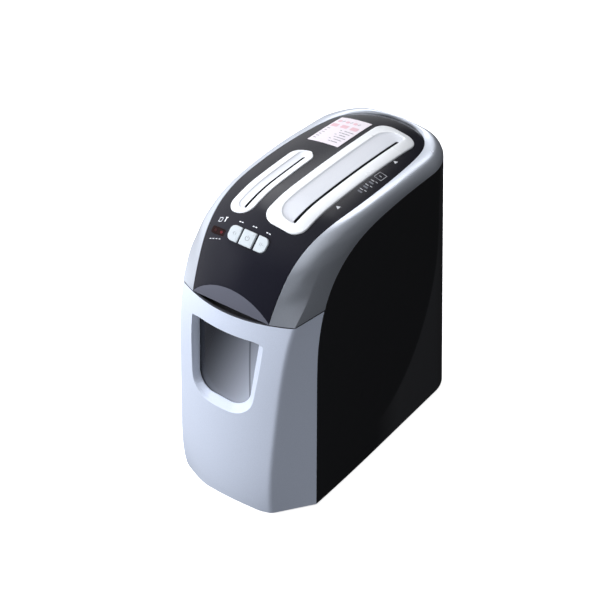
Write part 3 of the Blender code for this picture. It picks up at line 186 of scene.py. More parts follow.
def spline(keys, values, at):
    """A smooth curve through the values at the keys, with slopes from their neighbours."""
    keys, values = np.array(keys, float), np.array(values, float)
    slopes = np.gradient(values, keys)
    k = int(np.clip(np.searchsorted(keys, at) - 1, 0, len(keys) - 2))
    span = keys[k + 1] - keys[k]
    t = (at - keys[k]) / span
    a, b = 2 * t**3 - 3 * t**2 + 1, t**3 - 2 * t**2 + t
    return a * values[k] + (1 - a) * values[k + 1] + span * (b * slopes[k] + (t**3 - t**2) * slopes[k + 1])


# Silver band. For each key: the panel edge's y, the right fold (x, y, z), the lower edge along the side,
# the left fold (distance from x = 0, y, z), and how much nearer the left side is than the right one
BAND_KEYS = (
    (-175.4, 84.4, -162.1, 307.3, -113.6, 79.2, -164.8, 307.3, 2.4),
    (-167.0, 86.0, -140.0, 331.0, -100.0, 86.4, -141.6, 331.3, 3.2),
    (-155.5, 87.0, -128.0, 351.0, -80.0, 84.6, -128.6, 351.1, 5.0),
    (-139.0, 88.0, -113.5, 370.0, -50.0, 83.3, -111.8, 369.9, 6.5),
    (-118.0, 88.6, -92.0, 382.5, -24.0, 82.7, -88.3, 381.9, 7.6),
    (-85.0, 89.0, -62.0, 389.3, -2.0, 83.1, -58.6, 388.6, 8.2),
    (-50.0, 89.2, -32.0, 391.3, 18.0, 83.2, -28.8, 390.4, 8.6),
    (0.0, 89.2, 10.0, 391.0, 42.0, 83.2, 12.3, 389.8, 8.9),
    (45.0, 88.8, 52.0, 388.5, 72.0, 82.7, 53.4, 387.4, 9.1),
    (89.0, 87.0, 93.0, 385.0, 101.0, 80.9, 93.5, 383.9, 9.3),
    (135.5, 79.0, 143.0, 381.5, 141.0, 73.8, 142.0, 380.5, 9.2),
    (165.0, 55.0, 174.0, 379.0, 188.0, 52.1, 173.7, 378.5, 8.6),
    (182.0, 0.0, 187.5, 377.5, OUTLINE_END, 0.0, 187.5, 377.5, 8.3),
)


def lap_of(s):
    """0 at the seam, 1 where the panel starts to narrow and 2 at its tip."""
    y = arch(s)[0]
    if y < PANEL_ROUND_Y:
        return s / station(PANEL_ROUND_Y)
    return 1 + math.asin(min((y - PANEL_ROUND_Y) / (PANEL_TIP_Y - PANEL_ROUND_Y), 1)) / (math.pi / 2)


def panel_rows(straight, tip):
    """Lengths along the panel edge, closer together towards the tip."""
    end = station(PANEL_ROUND_Y)
    reach = PANEL_TIP_Y - PANEL_ROUND_Y
    rows = [end * k / straight for k in range(straight + 1)]
    turns = [math.pi / 2 * k / tip for k in range(1, tip + 1)]
    return rows + [station(PANEL_ROUND_Y + reach * math.sin(turn)) for turn in turns]


KEY_COLUMNS = list(zip(*BAND_KEYS))
KEY_LAPS = [0.0] + [lap_of(station(key[0])) for key in BAND_KEYS[1:-1]] + [2.0]
ROWS = panel_rows(80, 36)
ROW_LAPS = [0.0] + [lap_of(s) for s in ROWS[1:-1]] + [2.0]


def plan_normal(s):
    """Outward direction of the panel edge in plan."""
    y = arch(s)[0]
    if y >= PANEL_TIP_Y - 0.01:
        return 0.0, 1.0
    before, after = y - 0.5, min(y + 0.5, PANEL_TIP_Y)
    slope = (half_width(after) - half_width(before)) / (after - before)
    size = math.hypot(1, slope)
    return 1 / size, -slope / size


BAND_STEPS = [k / 10 for k in range(5)] + [0.46, 0.48, 0.5, 0.52, 0.54] + [k / 10 for k in range(6, 11)]
PANEL_GAP = GAP * 1.4


def band_row(s, lap, depth, side):
    """A section of the band from the panel to the cover: two flats at the seam, one curve further back."""
    along = spline(KEY_LAPS, KEY_COLUMNS[4], lap)
    edge = panel_point(1, s)
    edge = (edge[0], max(edge[1], SCOOP_Y), edge[2] if s > 0 else SEAM_Z + GAP)
    out_x, out_y = plan_normal(s)
    start = np.array([edge[0] + out_x * PANEL_GAP, edge[1] + out_y * PANEL_GAP, edge[2]])
    fold = np.array([spline(KEY_LAPS, KEY_COLUMNS[k], lap) for k in ((1, 2, 3) if side > 0 else (5, 6, 7))])
    foot_z = edge_z(along)
    foot_x, foot_y, side_normal = outline(along, foot_z, side)
    foot = np.array([foot_x, foot_y, foot_z])
    tilt = arch(s)[2]
    first = np.array([0, -math.sin(tilt), math.cos(tilt)])
    last = np.array([side_normal[0], side_normal[1], 0.0])
    sharp = float(np.clip(1 - lap / KEY_LAPS[3], 0, 1))
    pull = 2 * fold - (start + foot) / 2
    row = []
    for t in BAND_STEPS:
        soft = (1 - t) ** 2 * start + 2 * t * (1 - t) * pull + t * t * foot
        if t < 0.5:
            hard = start + (fold - start) * 2 * t
            hard[1] += (hard[0] - start[0]) * (hard[0] - fold[0]) * BOW
        else:
            hard = fold + (foot - fold) * (2 * t - 1)
        way = (1 - t) * first + t * last
        point = sharp * hard + (1 - sharp) * soft - way / np.linalg.norm(way) * depth
        if lap == 0:
            point[2] = SEAM_Z + GAP
        row.append(tuple(point))
    return row


# Making meshes
WELD, SLIVER = 0.00002, 0.00001  # metres: points this near become one, and edges this short go


def add(made):
    bpy.context.scene.collection.objects.link(made)
    return made


def make(name, verts, faces, body, material, smooth=True):
    """A closed piece from points in millimetres. It rides on a body."""
    mesh = bpy.data.meshes.new(name)
    mesh.from_pydata([(x * MM, y * MM, z * MM) for x, y, z in verts], [], faces)
    work = bmesh.new()
    work.from_mesh(mesh)
    bmesh.ops.remove_doubles(work, verts=work.verts, dist=WELD)
    bmesh.ops.dissolve_degenerate(work, edges=work.edges, dist=SLIVER)
    bmesh.ops.recalc_face_normals(work, faces=work.faces)
    if work.calc_volume(signed=True) < 0:
        bmesh.ops.reverse_faces(work, faces=work.faces)
    for face in work.faces:
        face.smooth = smooth
    work.to_mesh(mesh)
    work.free()
    made = add(bpy.data.objects.new(name, mesh))
    if material:
        mesh.materials.append(material)
    if body:
        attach(made, body)
    return made


def slab(name, outer, inner, body, material):
    """A closed body between two grids of points of the same size."""
    rows, cols = len(outer), len(outer[0])
    verts = [p for row in outer for p in row] + [p for row in inner for p in row]
    half = rows * cols
    faces = []
    for i in range(rows - 1):
        for j in range(cols - 1):
            a = i * cols + j
            quad = [a, a + cols, a + cols + 1, a + 1]
            faces += [quad, [v + half for v in quad[::-1]]]
    loop = [(0, j) for j in range(cols)] + [(i, cols - 1) for i in range(1, rows)]
    loop += [(rows - 1, j) for j in range(cols - 2, -1, -1)] + [(i, 0) for i in range(rows - 2, 0, -1)]
    for (a, b), (c, d) in zip(loop, loop[1:] + loop[:1]):
        first, second = a * cols + b, c * cols + d
        faces.append([first, second, second + half, first + half])
    return make(name, verts, faces, body, material)


def rings(name, loops, body, material, closed=False, smooth=True):
    """A body through closed loops of the same count: a torus if closed, capped at both ends if not."""
    count = len(loops[0])
    verts = [p for loop in loops for p in loop]
    faces = []
    spans = range(len(loops)) if closed else range(len(loops) - 1)
    for r in spans:
        q = (r + 1) % len(loops)
        for k in range(count):
            n = (k + 1) % count
            faces.append([r * count + k, r * count + n, q * count + n, q * count + k])
    if not closed:
        faces += [list(range(count))[::-1], [(len(loops) - 1) * count + k for k in range(count)]]
    return make(name, verts, faces, body, material, smooth)


def cut(target, *tools, merge=0.12, rear=REAR_Y + WALL):
    """Cuts with closed tools, and keeps the result as the piece's own mesh.
    Points nearer than `merge` become one, except behind `rear`."""
    for tool in tools:
        step = target.modifiers.new("cut", "BOOLEAN")
        step.operation, step.solver, step.object = "DIFFERENCE", "EXACT", tool
    graph = bpy.context.evaluated_depsgraph_get()
    mesh = bpy.data.meshes.new_from_object(target.evaluated_get(graph))
    work = bmesh.new()
    work.from_mesh(mesh)
    near = [point for point in work.verts if point.co.y < rear * MM]
    bmesh.ops.remove_doubles(work, verts=near, dist=merge * MM)
    bmesh.ops.dissolve_degenerate(work, edges=work.edges, dist=WELD)
    work.to_mesh(mesh)
    work.free()
    target.modifiers.clear()
    target.data = mesh
    for tool in tools:
        bpy.data.objects.remove(tool)
    return target


def soften(piece, width, angle=35.0):
    """Rounds the edges sharper than an angle."""
    step = piece.modifiers.new("round", "BEVEL")
    step.width, step.segments = width * MM, 2
    step.limit_method, step.angle_limit = "ANGLE", math.radians(angle)
    step.use_clamp_overlap, step.harden_normals = False, True
    for face in piece.data.polygons:
        face.use_smooth = True
    return piece


def quarter(centre, reach, start, steps):
    """A quarter of an ellipse, from this quarter turn on."""
    turns = [math.pi / 2 * (start + k / steps) for k in range(steps + 1)]
    return [(centre[0] + reach[0] * math.cos(t), centre[1] + reach[1] * math.sin(t)) for t in turns]


def joined(arcs, side, end):
    """A closed loop through four arcs, with the lines between them cut into so many steps."""
    points = []
    for k, piece in enumerate(arcs):
        after, count = np.array(arcs[(k + 1) % 4][0]), side if k % 2 == 0 else end
        last = np.array(piece[-1])
        points += piece
        points += [tuple(last + (after - last) * n / count) for n in range(1, count)]
    return points


def rounded(x, y, radii, steps=8, side=1, end=1):
    """A rectangle with round corners, whose low-x and high-x ends may have their own radius."""
    low_r, high_r = radii if isinstance(radii, tuple) else (radii, radii)
    low_x, high_x, low_y, high_y = x[0] + low_r, x[1] - high_r, y[0], y[1]
    arcs = [
        quarter((high_x, low_y + high_r), (high_r, high_r), 3, steps),
        quarter((high_x, high_y - high_r), (high_r, high_r), 0, steps),
        quarter((low_x, high_y - low_r), (low_r, low_r), 1, steps),
        quarter((low_x, low_y + low_r), (low_r, low_r), 2, steps),
    ]
    return joined(arcs, side, end)


def offset_loop(points, depth):
    """A closed plan loop, moved inward by a distance."""
    p = np.array(points, float)
    along = np.roll(p, -1, 0) - np.roll(p, 1, 0)
    along /= np.maximum(np.linalg.norm(along, axis=1), 1e-9)[:, None]
    turn = np.sum(p[:, 0] * np.roll(p[:, 1], -1) - np.roll(p[:, 0], -1) * p[:, 1])
    inward = np.stack([-along[:, 1], along[:, 0]], 1) * (1 if turn > 0 else -1)
    return p + inward * depth


# Materials
def shader_of(name):
    made = bpy.data.materials.new(name)
    made.use_nodes = True
    tree = made.node_tree
    return made, tree, tree.nodes["Principled BSDF"]


def math_in(tree, kind, *values):
    """A maths node, fed by numbers or by other nodes."""
    node = tree.nodes.new("ShaderNodeMath")
    node.operation = kind
    for socket, value in zip(node.inputs, values):
        if isinstance(value, float):
            socket.default_value = value
        else:
            tree.links.new(value, socket)
    return node.outputs["Value"]


def grain(name, colour, rough, metallic, scale, bump, spread, tone, **more):
    """A moulded or painted surface. Fine noise at `scale` makes the bump and a tone of plus or minus `tone`;
    broad noise makes the roughness, plus or minus `spread`."""
    made, tree, shader = shader_of(name)
    shader.inputs["Metallic"].default_value = metallic
    for key, value in more.items():
        shader.inputs[key.replace("_", " ")].default_value = value
    place = tree.nodes.new("ShaderNodeTexCoord")
    fine = tree.nodes.new("ShaderNodeTexNoise")
    fine.inputs["Scale"].default_value = scale
    fine.inputs["Detail"].default_value = 2.0
    broad = tree.nodes.new("ShaderNodeTexNoise")
    broad.inputs["Scale"].default_value = 14.0
    broad.inputs["Detail"].default_value = 4.0
    for noise in (fine, broad):
        tree.links.new(place.outputs["Object"], noise.inputs["Vector"])
    relief = tree.nodes.new("ShaderNodeBump")
    relief.inputs["Strength"].default_value = bump
    relief.inputs["Distance"].default_value = 0.0004
    tree.links.new(fine.outputs["Fac"], relief.inputs["Height"])
    tree.links.new(relief.outputs["Normal"], shader.inputs["Normal"])
    gloss = tree.nodes.new("ShaderNodeMapRange")
    limits = {"From Min": 0.3, "From Max": 0.7, "To Min": rough - spread, "To Max": rough + spread}
    for socket, value in limits.items():
        gloss.inputs[socket].default_value = value
    tree.links.new(broad.outputs["Fac"], gloss.inputs["Value"])
    tree.links.new(gloss.outputs["Result"], shader.inputs["Roughness"])
    ramp = tree.nodes.new("ShaderNodeValToRGB")
    ramp.color_ramp.elements[0].position, ramp.color_ramp.elements[1].position = 0.35, 0.65
    ramp.color_ramp.elements[0].color = (*[c * (1 - tone) for c in colour], 1)
    ramp.color_ramp.elements[1].color = (*[min(c * (1 + tone), 1) for c in colour], 1)
    tree.links.new(fine.outputs["Fac"], ramp.inputs["Fac"])
    tree.links.new(ramp.outputs["Color"], shader.inputs["Base Color"])
    return made


def masked(material, colour, build):
    """Lays a second colour over a material, by a share that `build` works out from the object's axes."""
    tree = material.node_tree
    shader = tree.nodes["Principled BSDF"]
    place = tree.nodes.new("ShaderNodeTexCoord")
    axes = tree.nodes.new("ShaderNodeSeparateXYZ")
    tree.links.new(place.outputs["Object"], axes.inputs["Vector"])

    def math_node(kind, *values):
        return math_in(tree, kind, *values)

    share = build(axes.outputs, math_node)
    under = shader.inputs["Base Color"].links[0].from_socket
    over = tree.nodes.new("ShaderNodeMix")
    over.data_type = "RGBA"
    over.inputs["B"].default_value = (*colour, 1)
    tree.links.new(share, over.inputs["Factor"])
    tree.links.new(under, over.inputs["A"])
    tree.links.new(over.outputs["Result"], shader.inputs["Base Color"])
    return material


def clamped(math_node, value, low, high):
    """0 below the low value, 1 above the high one."""
    scaled = math_node("DIVIDE", math_node("SUBTRACT", value, low), high - low)
    return math_node("MINIMUM", math_node("MAXIMUM", scaled, 0.0), 1.0)


def stripe_painted_light(axes, math_node):
    """Painted light on the lower rear of the sides, behind an elliptic line."""
    offsets = [math_node("SUBTRACT", axes[k], v * MM) for k, v in zip("YZ", STRIPE_CENTRE)]
    across, down = [math_node("DIVIDE", part, reach * MM) for part, reach in zip(offsets, STRIPE_REACH)]
    down = math_node("MINIMUM", down, 0.0)
    size = math_node("ADD", math_node("MULTIPLY", across, across), math_node("MULTIPLY", down, down))
    behind = clamped(math_node, size, 0.985, 1.005)
    return math_node("MULTIPLY", behind, clamped(math_node, axes["Y"], 0.0, STRIPE_FADE_Y * MM))


def scoop_face(axes, math_node):
    """The flat face that the scoop cuts into the panel."""
    forward = math_node("MULTIPLY", axes["Y"], -1.0)
    return clamped(math_node, forward, (-SCOOP_Y - 0.25) * MM, (-SCOOP_Y - 0.1) * MM)


def seam_painted_shade(axes, math_node):
    """Painted shade on the bin's top edge, where the band above shades it."""
    return clamped(math_node, axes["Z"], (BIN_TOP_Z - 0.5) * MM, (BIN_TOP_Z - 0.2) * MM)


def glass_painted_light(axes, math_node):
    """Painted light and reflection in the window, stronger to the right and lower down, with one thin line
    of painted shade.
    """
    right = clamped(math_node, axes["X"], GLASS_X[0] * MM, GLASS_X[1] * MM)
    down = math_node("MULTIPLY", axes["Z"], -1.0)
    low = clamped(math_node, down, -GLASS_Z[1] * MM, -GLASS_Z[0] * MM)
    both = math_node("ADD", *[math_node("MULTIPLY", *way) for way in zip((right, low), GLASS_SHARES)])
    glow = math_node("POWER", clamped(math_node, both, GLASS_DARK, 1.0), 2.0)
    from_line = math_node("ABSOLUTE", math_node("SUBTRACT", axes["X"], GLASS_LINE_X * MM))
    line = clamped(math_node, from_line, *[half * MM for half in GLASS_LINE_HALF])
    shade = math_node("ADD", math_node("MULTIPLY", line, GLASS_LINE_SHADE), 1 - GLASS_LINE_SHADE)
    return math_node("MULTIPLY", glow, shade)


# Name, colour, roughness, metallic, grain scale, bump, spread of the roughness, spread of the tone
silver = grain("silver_lacquer", (0.62, 0.67, 0.79), 0.4, 0.15, 1400.0, 0.03, 0.03, 0.04)
# A dark line of painted shade along the bin's top edge, under the band.
masked(silver, (0.05, 0.052, 0.06), seam_painted_shade)
band_silver = grain("band_lacquer", (0.62, 0.66, 0.74), 0.3, 0.72, 1400.0, 0.03, 0.03, 0.04)
black = grain("black_plastic", (0.014, 0.014, 0.016), 0.5, 0.0, 1100.0, 0.12, 0.05, 0.2)
# The black sides get painted light behind the stripe line.
masked(black, (0.04, 0.04, 0.044), stripe_painted_light)
DULL = {"Specular_IOR_Level": 0.3}
gloss = grain("fascia_plastic", (0.012, 0.012, 0.018), 0.22, 0.0, 1600.0, 0.012, 0.03, 0.1, **DULL)
masked(gloss, (0.105, 0.108, 0.135), scoop_face)
white = grain("pearl_trim", (0.86, 0.88, 0.91), 0.28, 0.1, 1600.0, 0.015, 0.03, 0.02)
cap_white = grain("button_plastic", (0.50, 0.54, 0.57), 0.35, 0.0, 1600.0, 0.02, 0.03, 0.02)
smoke = grain("smoked_window", (0.009, 0.010, 0.014), 0.16, 0.0, 900.0, 0.01, 0.03, 0.05, **DULL)
# The window's lighter colour to the right and lower down is painted light and reflection.
masked(smoke, (0.54, 0.57, 0.66), glass_painted_light)
# A darker copy of the white trim: painted shade in the guide troughs of the bezels.
trough_painted_shade = grain("guide_plastic", (0.74, 0.76, 0.82), 0.35, 0.0, 1600.0, 0.02, 0.03, 0.03)
lens_red = grain("red_lens", (0.014, 0.004, 0.004), 0.2, 0.0, 900.0, 0.01, 0.03, 0.05)
label_paper = grain("label_paper", (0.80, 0.74, 0.80), 0.5, 0.0, 2600.0, 0.03, 0.03, 0.03)
steel = grain("steel", (0.48, 0.49, 0.51), 0.32, 1.0, 500.0, 0.05, 0.06, 0.08)
nylon = grain("nylon", (0.62, 0.61, 0.57), 0.5, 0.0, 700.0, 0.05, 0.04, 0.04)
board_green = grain("circuit_board", (0.02, 0.13, 0.05), 0.4, 0.0, 900.0, 0.05, 0.04, 0.1)
rubber = grain("rubber", (0.015, 0.015, 0.015), 0.75, 0.0, 900.0, 0.2, 0.05, 0.2)
ink_white = grain("white_print", (0.75, 0.77, 0.82), 0.5, 0.0, 2600.0, 0.02, 0.02, 0.03)
ink_grey = grain("grey_print", (0.16, 0.17, 0.20), 0.5, 0.0, 2600.0, 0.02, 0.02, 0.03)
ink_pink = grain("pink_print", (0.72, 0.47, 0.53), 0.5, 0.0, 2600.0, 0.02, 0.02, 0.03)
ink_red = grain("lamp_red", (0.11, 0.01, 0.015), 0.3, 0.0, 2600.0, 0.02, 0.02, 0.03)
lamp_dark = grain("lamp_dark", (0.03, 0.006, 0.007), 0.3, 0.0, 2600.0, 0.02, 0.02, 0.03)
tub_grey = grain("tub_plastic", (0.05, 0.05, 0.055), 0.5, 0.0, 700.0, 0.05, 0.04, 0.06)

SLOT_LOOKS = {
    "silver_plastic": silver,
    "black_plastic": black,
    "fascia_black": gloss,
    "white_trim": white,
    "smoked_window": smoke,
    "red_lens": lens_red,
    "label_paper": label_paper,
    "steel": steel,
    "nylon": nylon,
    "circuit_board": board_green,
    "rubber": rubber,
}
for part in frame["record"]["subparts"]:
    node = NODES[part["node"]]
    node.data.materials.clear()
    node.data.materials.append(SLOT_LOOKS[part["material_slot"]])
NODES["bin_tub"].data.materials[0] = tub_grey


def stand_for(piece, node):
    """A visible piece takes the place of its CAD node."""
    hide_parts(node)
    return piece


# Silver band
def flip_x(grid):
    return [[(-x, y, z) for x, y, z in row] for row in grid]


def band_half(depth, side):
    """One side of the band from the seam to the rear, moved in by a depth."""
    half = [band_row(s, lap, depth, side) for s, lap in zip(ROWS, ROW_LAPS)]
    half[-1] = [(0.0, y, z) for _, y, z in half[-1]]
    return half


def band_grid(depth):
    return band_half(depth, 1) + flip_x(band_half(depth, -1))[-2::-1]


band = slab("silver_band", band_grid(0), band_grid(WALL), "cabinet", band_silver)
stand_for(soften(band, 0.3), "top_cover")


# Black covers
def side_column(along, top, depth, side, rows=36):
    """Points up one side of the body, from its foot."""
    low_x, low_y, normal = outline(along, BASE_Z, side)
    high_x, high_y, _ = outline(along, top, side)
    low = np.array([low_x - normal[0] * depth, low_y - normal[1] * depth, BASE_Z])
    high = np.array([high_x - normal[0] * depth, high_y - normal[1] * depth, top])
    return [tuple(low + (high - low) * k / rows) for k in range(rows + 1)]


def under_band(along, depth, side):
    """A column that stops short of the band's lower edge."""
    slope = edge_z(along + 0.5) - edge_z(along - 0.5)
    return side_column(along, edge_z(along) - GAP * math.hypot(1, slope), depth, side)


ALONGS = [spline(KEY_LAPS, KEY_COLUMNS[4], lap) for lap in ROW_LAPS]


def side_grid(depth, side):
    """A side cover: columns beside the bin, then under the band."""
    heights = list(np.linspace(EDGE_LOW_Z, 302.0, 24))
    beside_bin = [side_column(edge_y(z) + GAP, z, depth, side) for z in heights]
    alongs = [a for a in ALONGS if a < COVER_SPLIT - 1.5] + [COVER_SPLIT]
    return beside_bin + [under_band(a, depth, side) for a in alongs]


def rear_grid(depth):
    """The rear cover, from one split round to the other."""
    alongs = [COVER_SPLIT + GAP * 2] + [a for a in ALONGS if a > COVER_SPLIT + 2]
    halves = [[under_band(a, depth, side) for a in alongs] for side in (-1, 1)]
    for half in halves:
        half[-1] = [(0.0, y, z) for _, y, z in half[-1]]
    return flip_x(halves[0][:-1]) + halves[1][::-1]


def round_tool(x, z, r, y):
    """A cutter that lies along y."""
    turns = [2 * math.pi * k / 48 for k in range(48)]
    loops = [[(x + r * math.cos(t), v, z + r * math.sin(t)) for t in turns] for v in y]
    return rings("tool", loops, None, None)


right_side = slab("right_side_skin", side_grid(0, 1), side_grid(WALL, 1), "cabinet", black)
left_grids = [flip_x(side_grid(depth, -1)) for depth in (0, WALL)]
left_side = slab("left_side_skin", *left_grids, "cabinet", black)
rear_skin = slab("rear_skin", rear_grid(0), rear_grid(WALL), "cabinet", black)
GLAND_X, GLAND_Z, GLAND_HOLE_R, GLAND_HOLE_Y = 28.0, 48.0, 8.3, (175, 205)
cut(rear_skin, round_tool(GLAND_X, GLAND_Z, GLAND_HOLE_R, GLAND_HOLE_Y))
skins = {"right_side_cover": right_side, "left_side_cover": left_side, "rear_cover": rear_skin}
for node, skin in skins.items():
    stand_for(soften(skin, 0.5), node)

# Panel
BUTTON_Y, BUTTON_LONG, BUTTON_TALL, BUTTON_STAND = -136.5, 19.5, 7.0, 1.4
BUTTON_EDGES = ((-29.5, -14.0), (-11.0, 7.0), (10.0, 25.5))
BUTTON_ROUND, POCKET_MARGIN, POCKET_DEPTH = 7.0, 2.4, 1.2
BUTTON_TILT = arch(station(BUTTON_Y))[2]
ACROSS = np.array([1.0, 0, 0])
UP_SLOPE = np.array([0, math.cos(BUTTON_TILT), math.sin(BUTTON_TILT)])
OUT_SLOPE = np.array([0, -math.sin(BUTTON_TILT), math.cos(BUTTON_TILT)])
LENS_X, LENS_Y, LENS_HALF, LENS_ROUND = (-54.0, -35.0), -137.0, 4.2, 1.8

# The two slots: the bezel's rectangle and corner radius, the guide trough's far edge, and the slit
PAPER = {"x": (-2.5, 53.5), "y": (-111.0, 146.0), "r": 18.0}
PAPER |= {"dish": 9.5, "slit": 35.8, "slit_y": (-95.0, 125.0)}
DISC = {"x": (-52.0, -19.0), "y": (-113.0, 31.0), "r": 15.0}
DISC |= {"dish": -42.0, "slit": -29.8, "slit_y": (-103.0, 19.0)}


def on_slope(points, high, origin):
    """Points of a plane that lies on the slope, at a height above an origin."""
    return [tuple(origin + ACROSS * a + UP_SLOPE * b + OUT_SLOPE * high) for a, b in points]


def slope_cutter(points, low, high, origin):
    return rings("tool", [on_slope(points, low, origin), on_slope(points, high, origin)], None, None)


def plan_cutter(points, low=300.0, high=430.0):
    return rings("tool", [[(x, y, z) for x, y in points] for z in (low, high)], None, None)


COLUMNS = [k / 24 - 1 for k in range(49)]
BELOW_SEAM = [-18.0, -12.0, -6.0]  # rows that the scoop and the seam cut off


def panel_grid(rise):
    return [[panel_point(u, s, rise) for u in COLUMNS] for s in BELOW_SEAM + ROWS]


def box_tool(x, y, z):
    """A cutter between two corners."""
    loops = [[(x[i], y[j], w) for i, j in ((0, 0), (1, 0), (1, 1), (0, 1))] for w in z]
    return rings("tool", loops, None, None)


def widened(span, gap):
    return span[0] - gap, span[1] + gap


panel = slab("fascia", panel_grid(0), panel_grid(-WALL), "cabinet", gloss)
centre_origin = np.array([0, BUTTON_Y, panel_z(-11.0, BUTTON_Y)])
lens_origin = np.array([0, LENS_Y, panel_z(sum(LENS_X) / 2, LENS_Y)])
pocket_x = widened((BUTTON_EDGES[0][0], BUTTON_EDGES[2][1]), POCKET_MARGIN)
pocket_y = widened((-BUTTON_LONG / 2, BUTTON_LONG / 2), POCKET_MARGIN)
pocket = rounded(pocket_x, pocket_y, BUTTON_ROUND + POCKET_MARGIN)
lens_room = rounded(widened(LENS_X, GAP), widened((-LENS_HALF, LENS_HALF), GAP), LENS_ROUND)
bezel_rooms = [rounded(widened(b["x"], GAP), widened(b["y"], GAP), b["r"] + GAP) for b in (PAPER, DISC)]
THROUGH, BESIDE = 12, (-90, 90)  # further than the panel's wall, and wider than the panel
panel_tools = [plan_cutter(room) for room in bezel_rooms]
panel_tools += [
    slope_cutter(pocket, -POCKET_DEPTH, THROUGH, centre_origin),
    slope_cutter(lens_room, -THROUGH, THROUGH, lens_origin),
    box_tool(BESIDE, (-230, SCOOP_Y), (270, 360)),
    box_tool(BESIDE, (-240, -120), (260, SEAM_Z + GAP)),
]
cut(panel, *panel_tools, rear=PANEL_TIP_Y - 6.0)
stand_for(soften(panel, 0.12), "control_panel")


def button_outline(index):
    """The outer ends of the row are round, and the ends between two buttons are nearly square."""
    radii = tuple(BUTTON_ROUND if index == end else 1.0 for end in (0, 2))
    return rounded(BUTTON_EDGES[index], (-BUTTON_LONG / 2, BUTTON_LONG / 2), radii, 8, 3, 3)


CAP_EDGE = ((0, 1.0), (0.08, 0.6), (0.3, 0.25), (0.7, 0.06), (1.1, 0.0))  # inset and drop of the rounded rim
CAP_DOME = 0.25
BUTTON_TOPS = {}  # the middle and the height of each button
for index, name in enumerate(("left_button", "power_button", "right_button")):
    middle = sum(BUTTON_EDGES[index]) / 2
    lower = panel_z(middle, BUTTON_Y) - centre_origin[2]
    top = BUTTON_STAND + lower * math.cos(BUTTON_TILT)
    plan = button_outline(index)
    BUTTON_TOPS[name] = (middle, top + 0.2)
    loops = [on_slope(plan, -BUTTON_TALL, centre_origin)]
    for inset, drop in CAP_EDGE:
        loops.append(on_slope(offset_loop(plan, inset), top - drop, centre_origin))
    inner = offset_loop(plan, CAP_EDGE[-1][0])
    centre = inner.mean(0)
    for share in (0.75, 0.5, 0.25, 0.05):
        high = top + CAP_DOME * (1 - share * share)
        loops.append(on_slope(centre + (inner - centre) * share, high, centre_origin))
    cap = rings(name + "_cap", loops, name, cap_white)
    stand_for(soften(cap, 0.3, 60), name)


# Slot bezels
BEZEL_RISE, BEZEL_DEPTH, DISH_DEPTH = 1.5, 9.0, 1.4
SLIT_HALF, SLIT_ROUND, DISH_ROUND = 2.5, 2.4, 2.6
SLIT_WALL = 5.0  # how far the slit's wall reaches below the bezel
STEPS = (8, 40, 3)  # points in a corner, along a side and across an end
BEZEL_EDGE = ((0.1, 0.65), (0.4, 0.3), (0.9, 0.08), (1.5, 0.0))  # inset and drop of the rounded rim
DISH_EDGE_DROP, DISH_ENDS, DISH_ROUND_SHARE = 0.45, (3.0, 11.0), 0.8
DISH_SHARES = (0.0, 0.04, 0.1, 0.2, 0.32, 0.45, 0.6, 0.75, 0.88, 0.97, 1.0)


def dish_loop(b):
    """The edge of the guide trough, which is round at both ends and straight beside the slit."""
    near, deep = b["slit"] + SLIT_HALF, b["slit"] - SLIT_HALF
    y0, y1 = b["slit_y"][0] - DISH_ENDS[0], b["slit_y"][1] + DISH_ENDS[1]
    reach = ((deep - b["dish"]) * DISH_ROUND_SHARE, deep - b["dish"])
    small = (DISH_ROUND, DISH_ROUND)
    near_x, far_x = near - DISH_ROUND, b["dish"] + reach[0]
    arcs = [
        quarter((near_x, y0 + DISH_ROUND), small, 3, STEPS[0]),
        quarter((near_x, y1 - DISH_ROUND), small, 0, STEPS[0]),
        quarter((far_x, y1 - reach[1]), reach, 1, STEPS[0]),
        quarter((far_x, y0 + reach[1]), reach, 2, STEPS[0]),
    ]
    return np.array(joined(arcs, *STEPS[1:]))


def inside_loop(loop, x, y):
    """Whether a point is inside a closed plan loop."""
    count = 0
    for (ax, ay), (bx, by) in zip(loop, np.roll(loop, -1, 0)):
        if (ay > y) != (by > y) and x < ax + (bx - ax) * (y - ay) / (by - ay):
            count += 1
    return count % 2 == 1


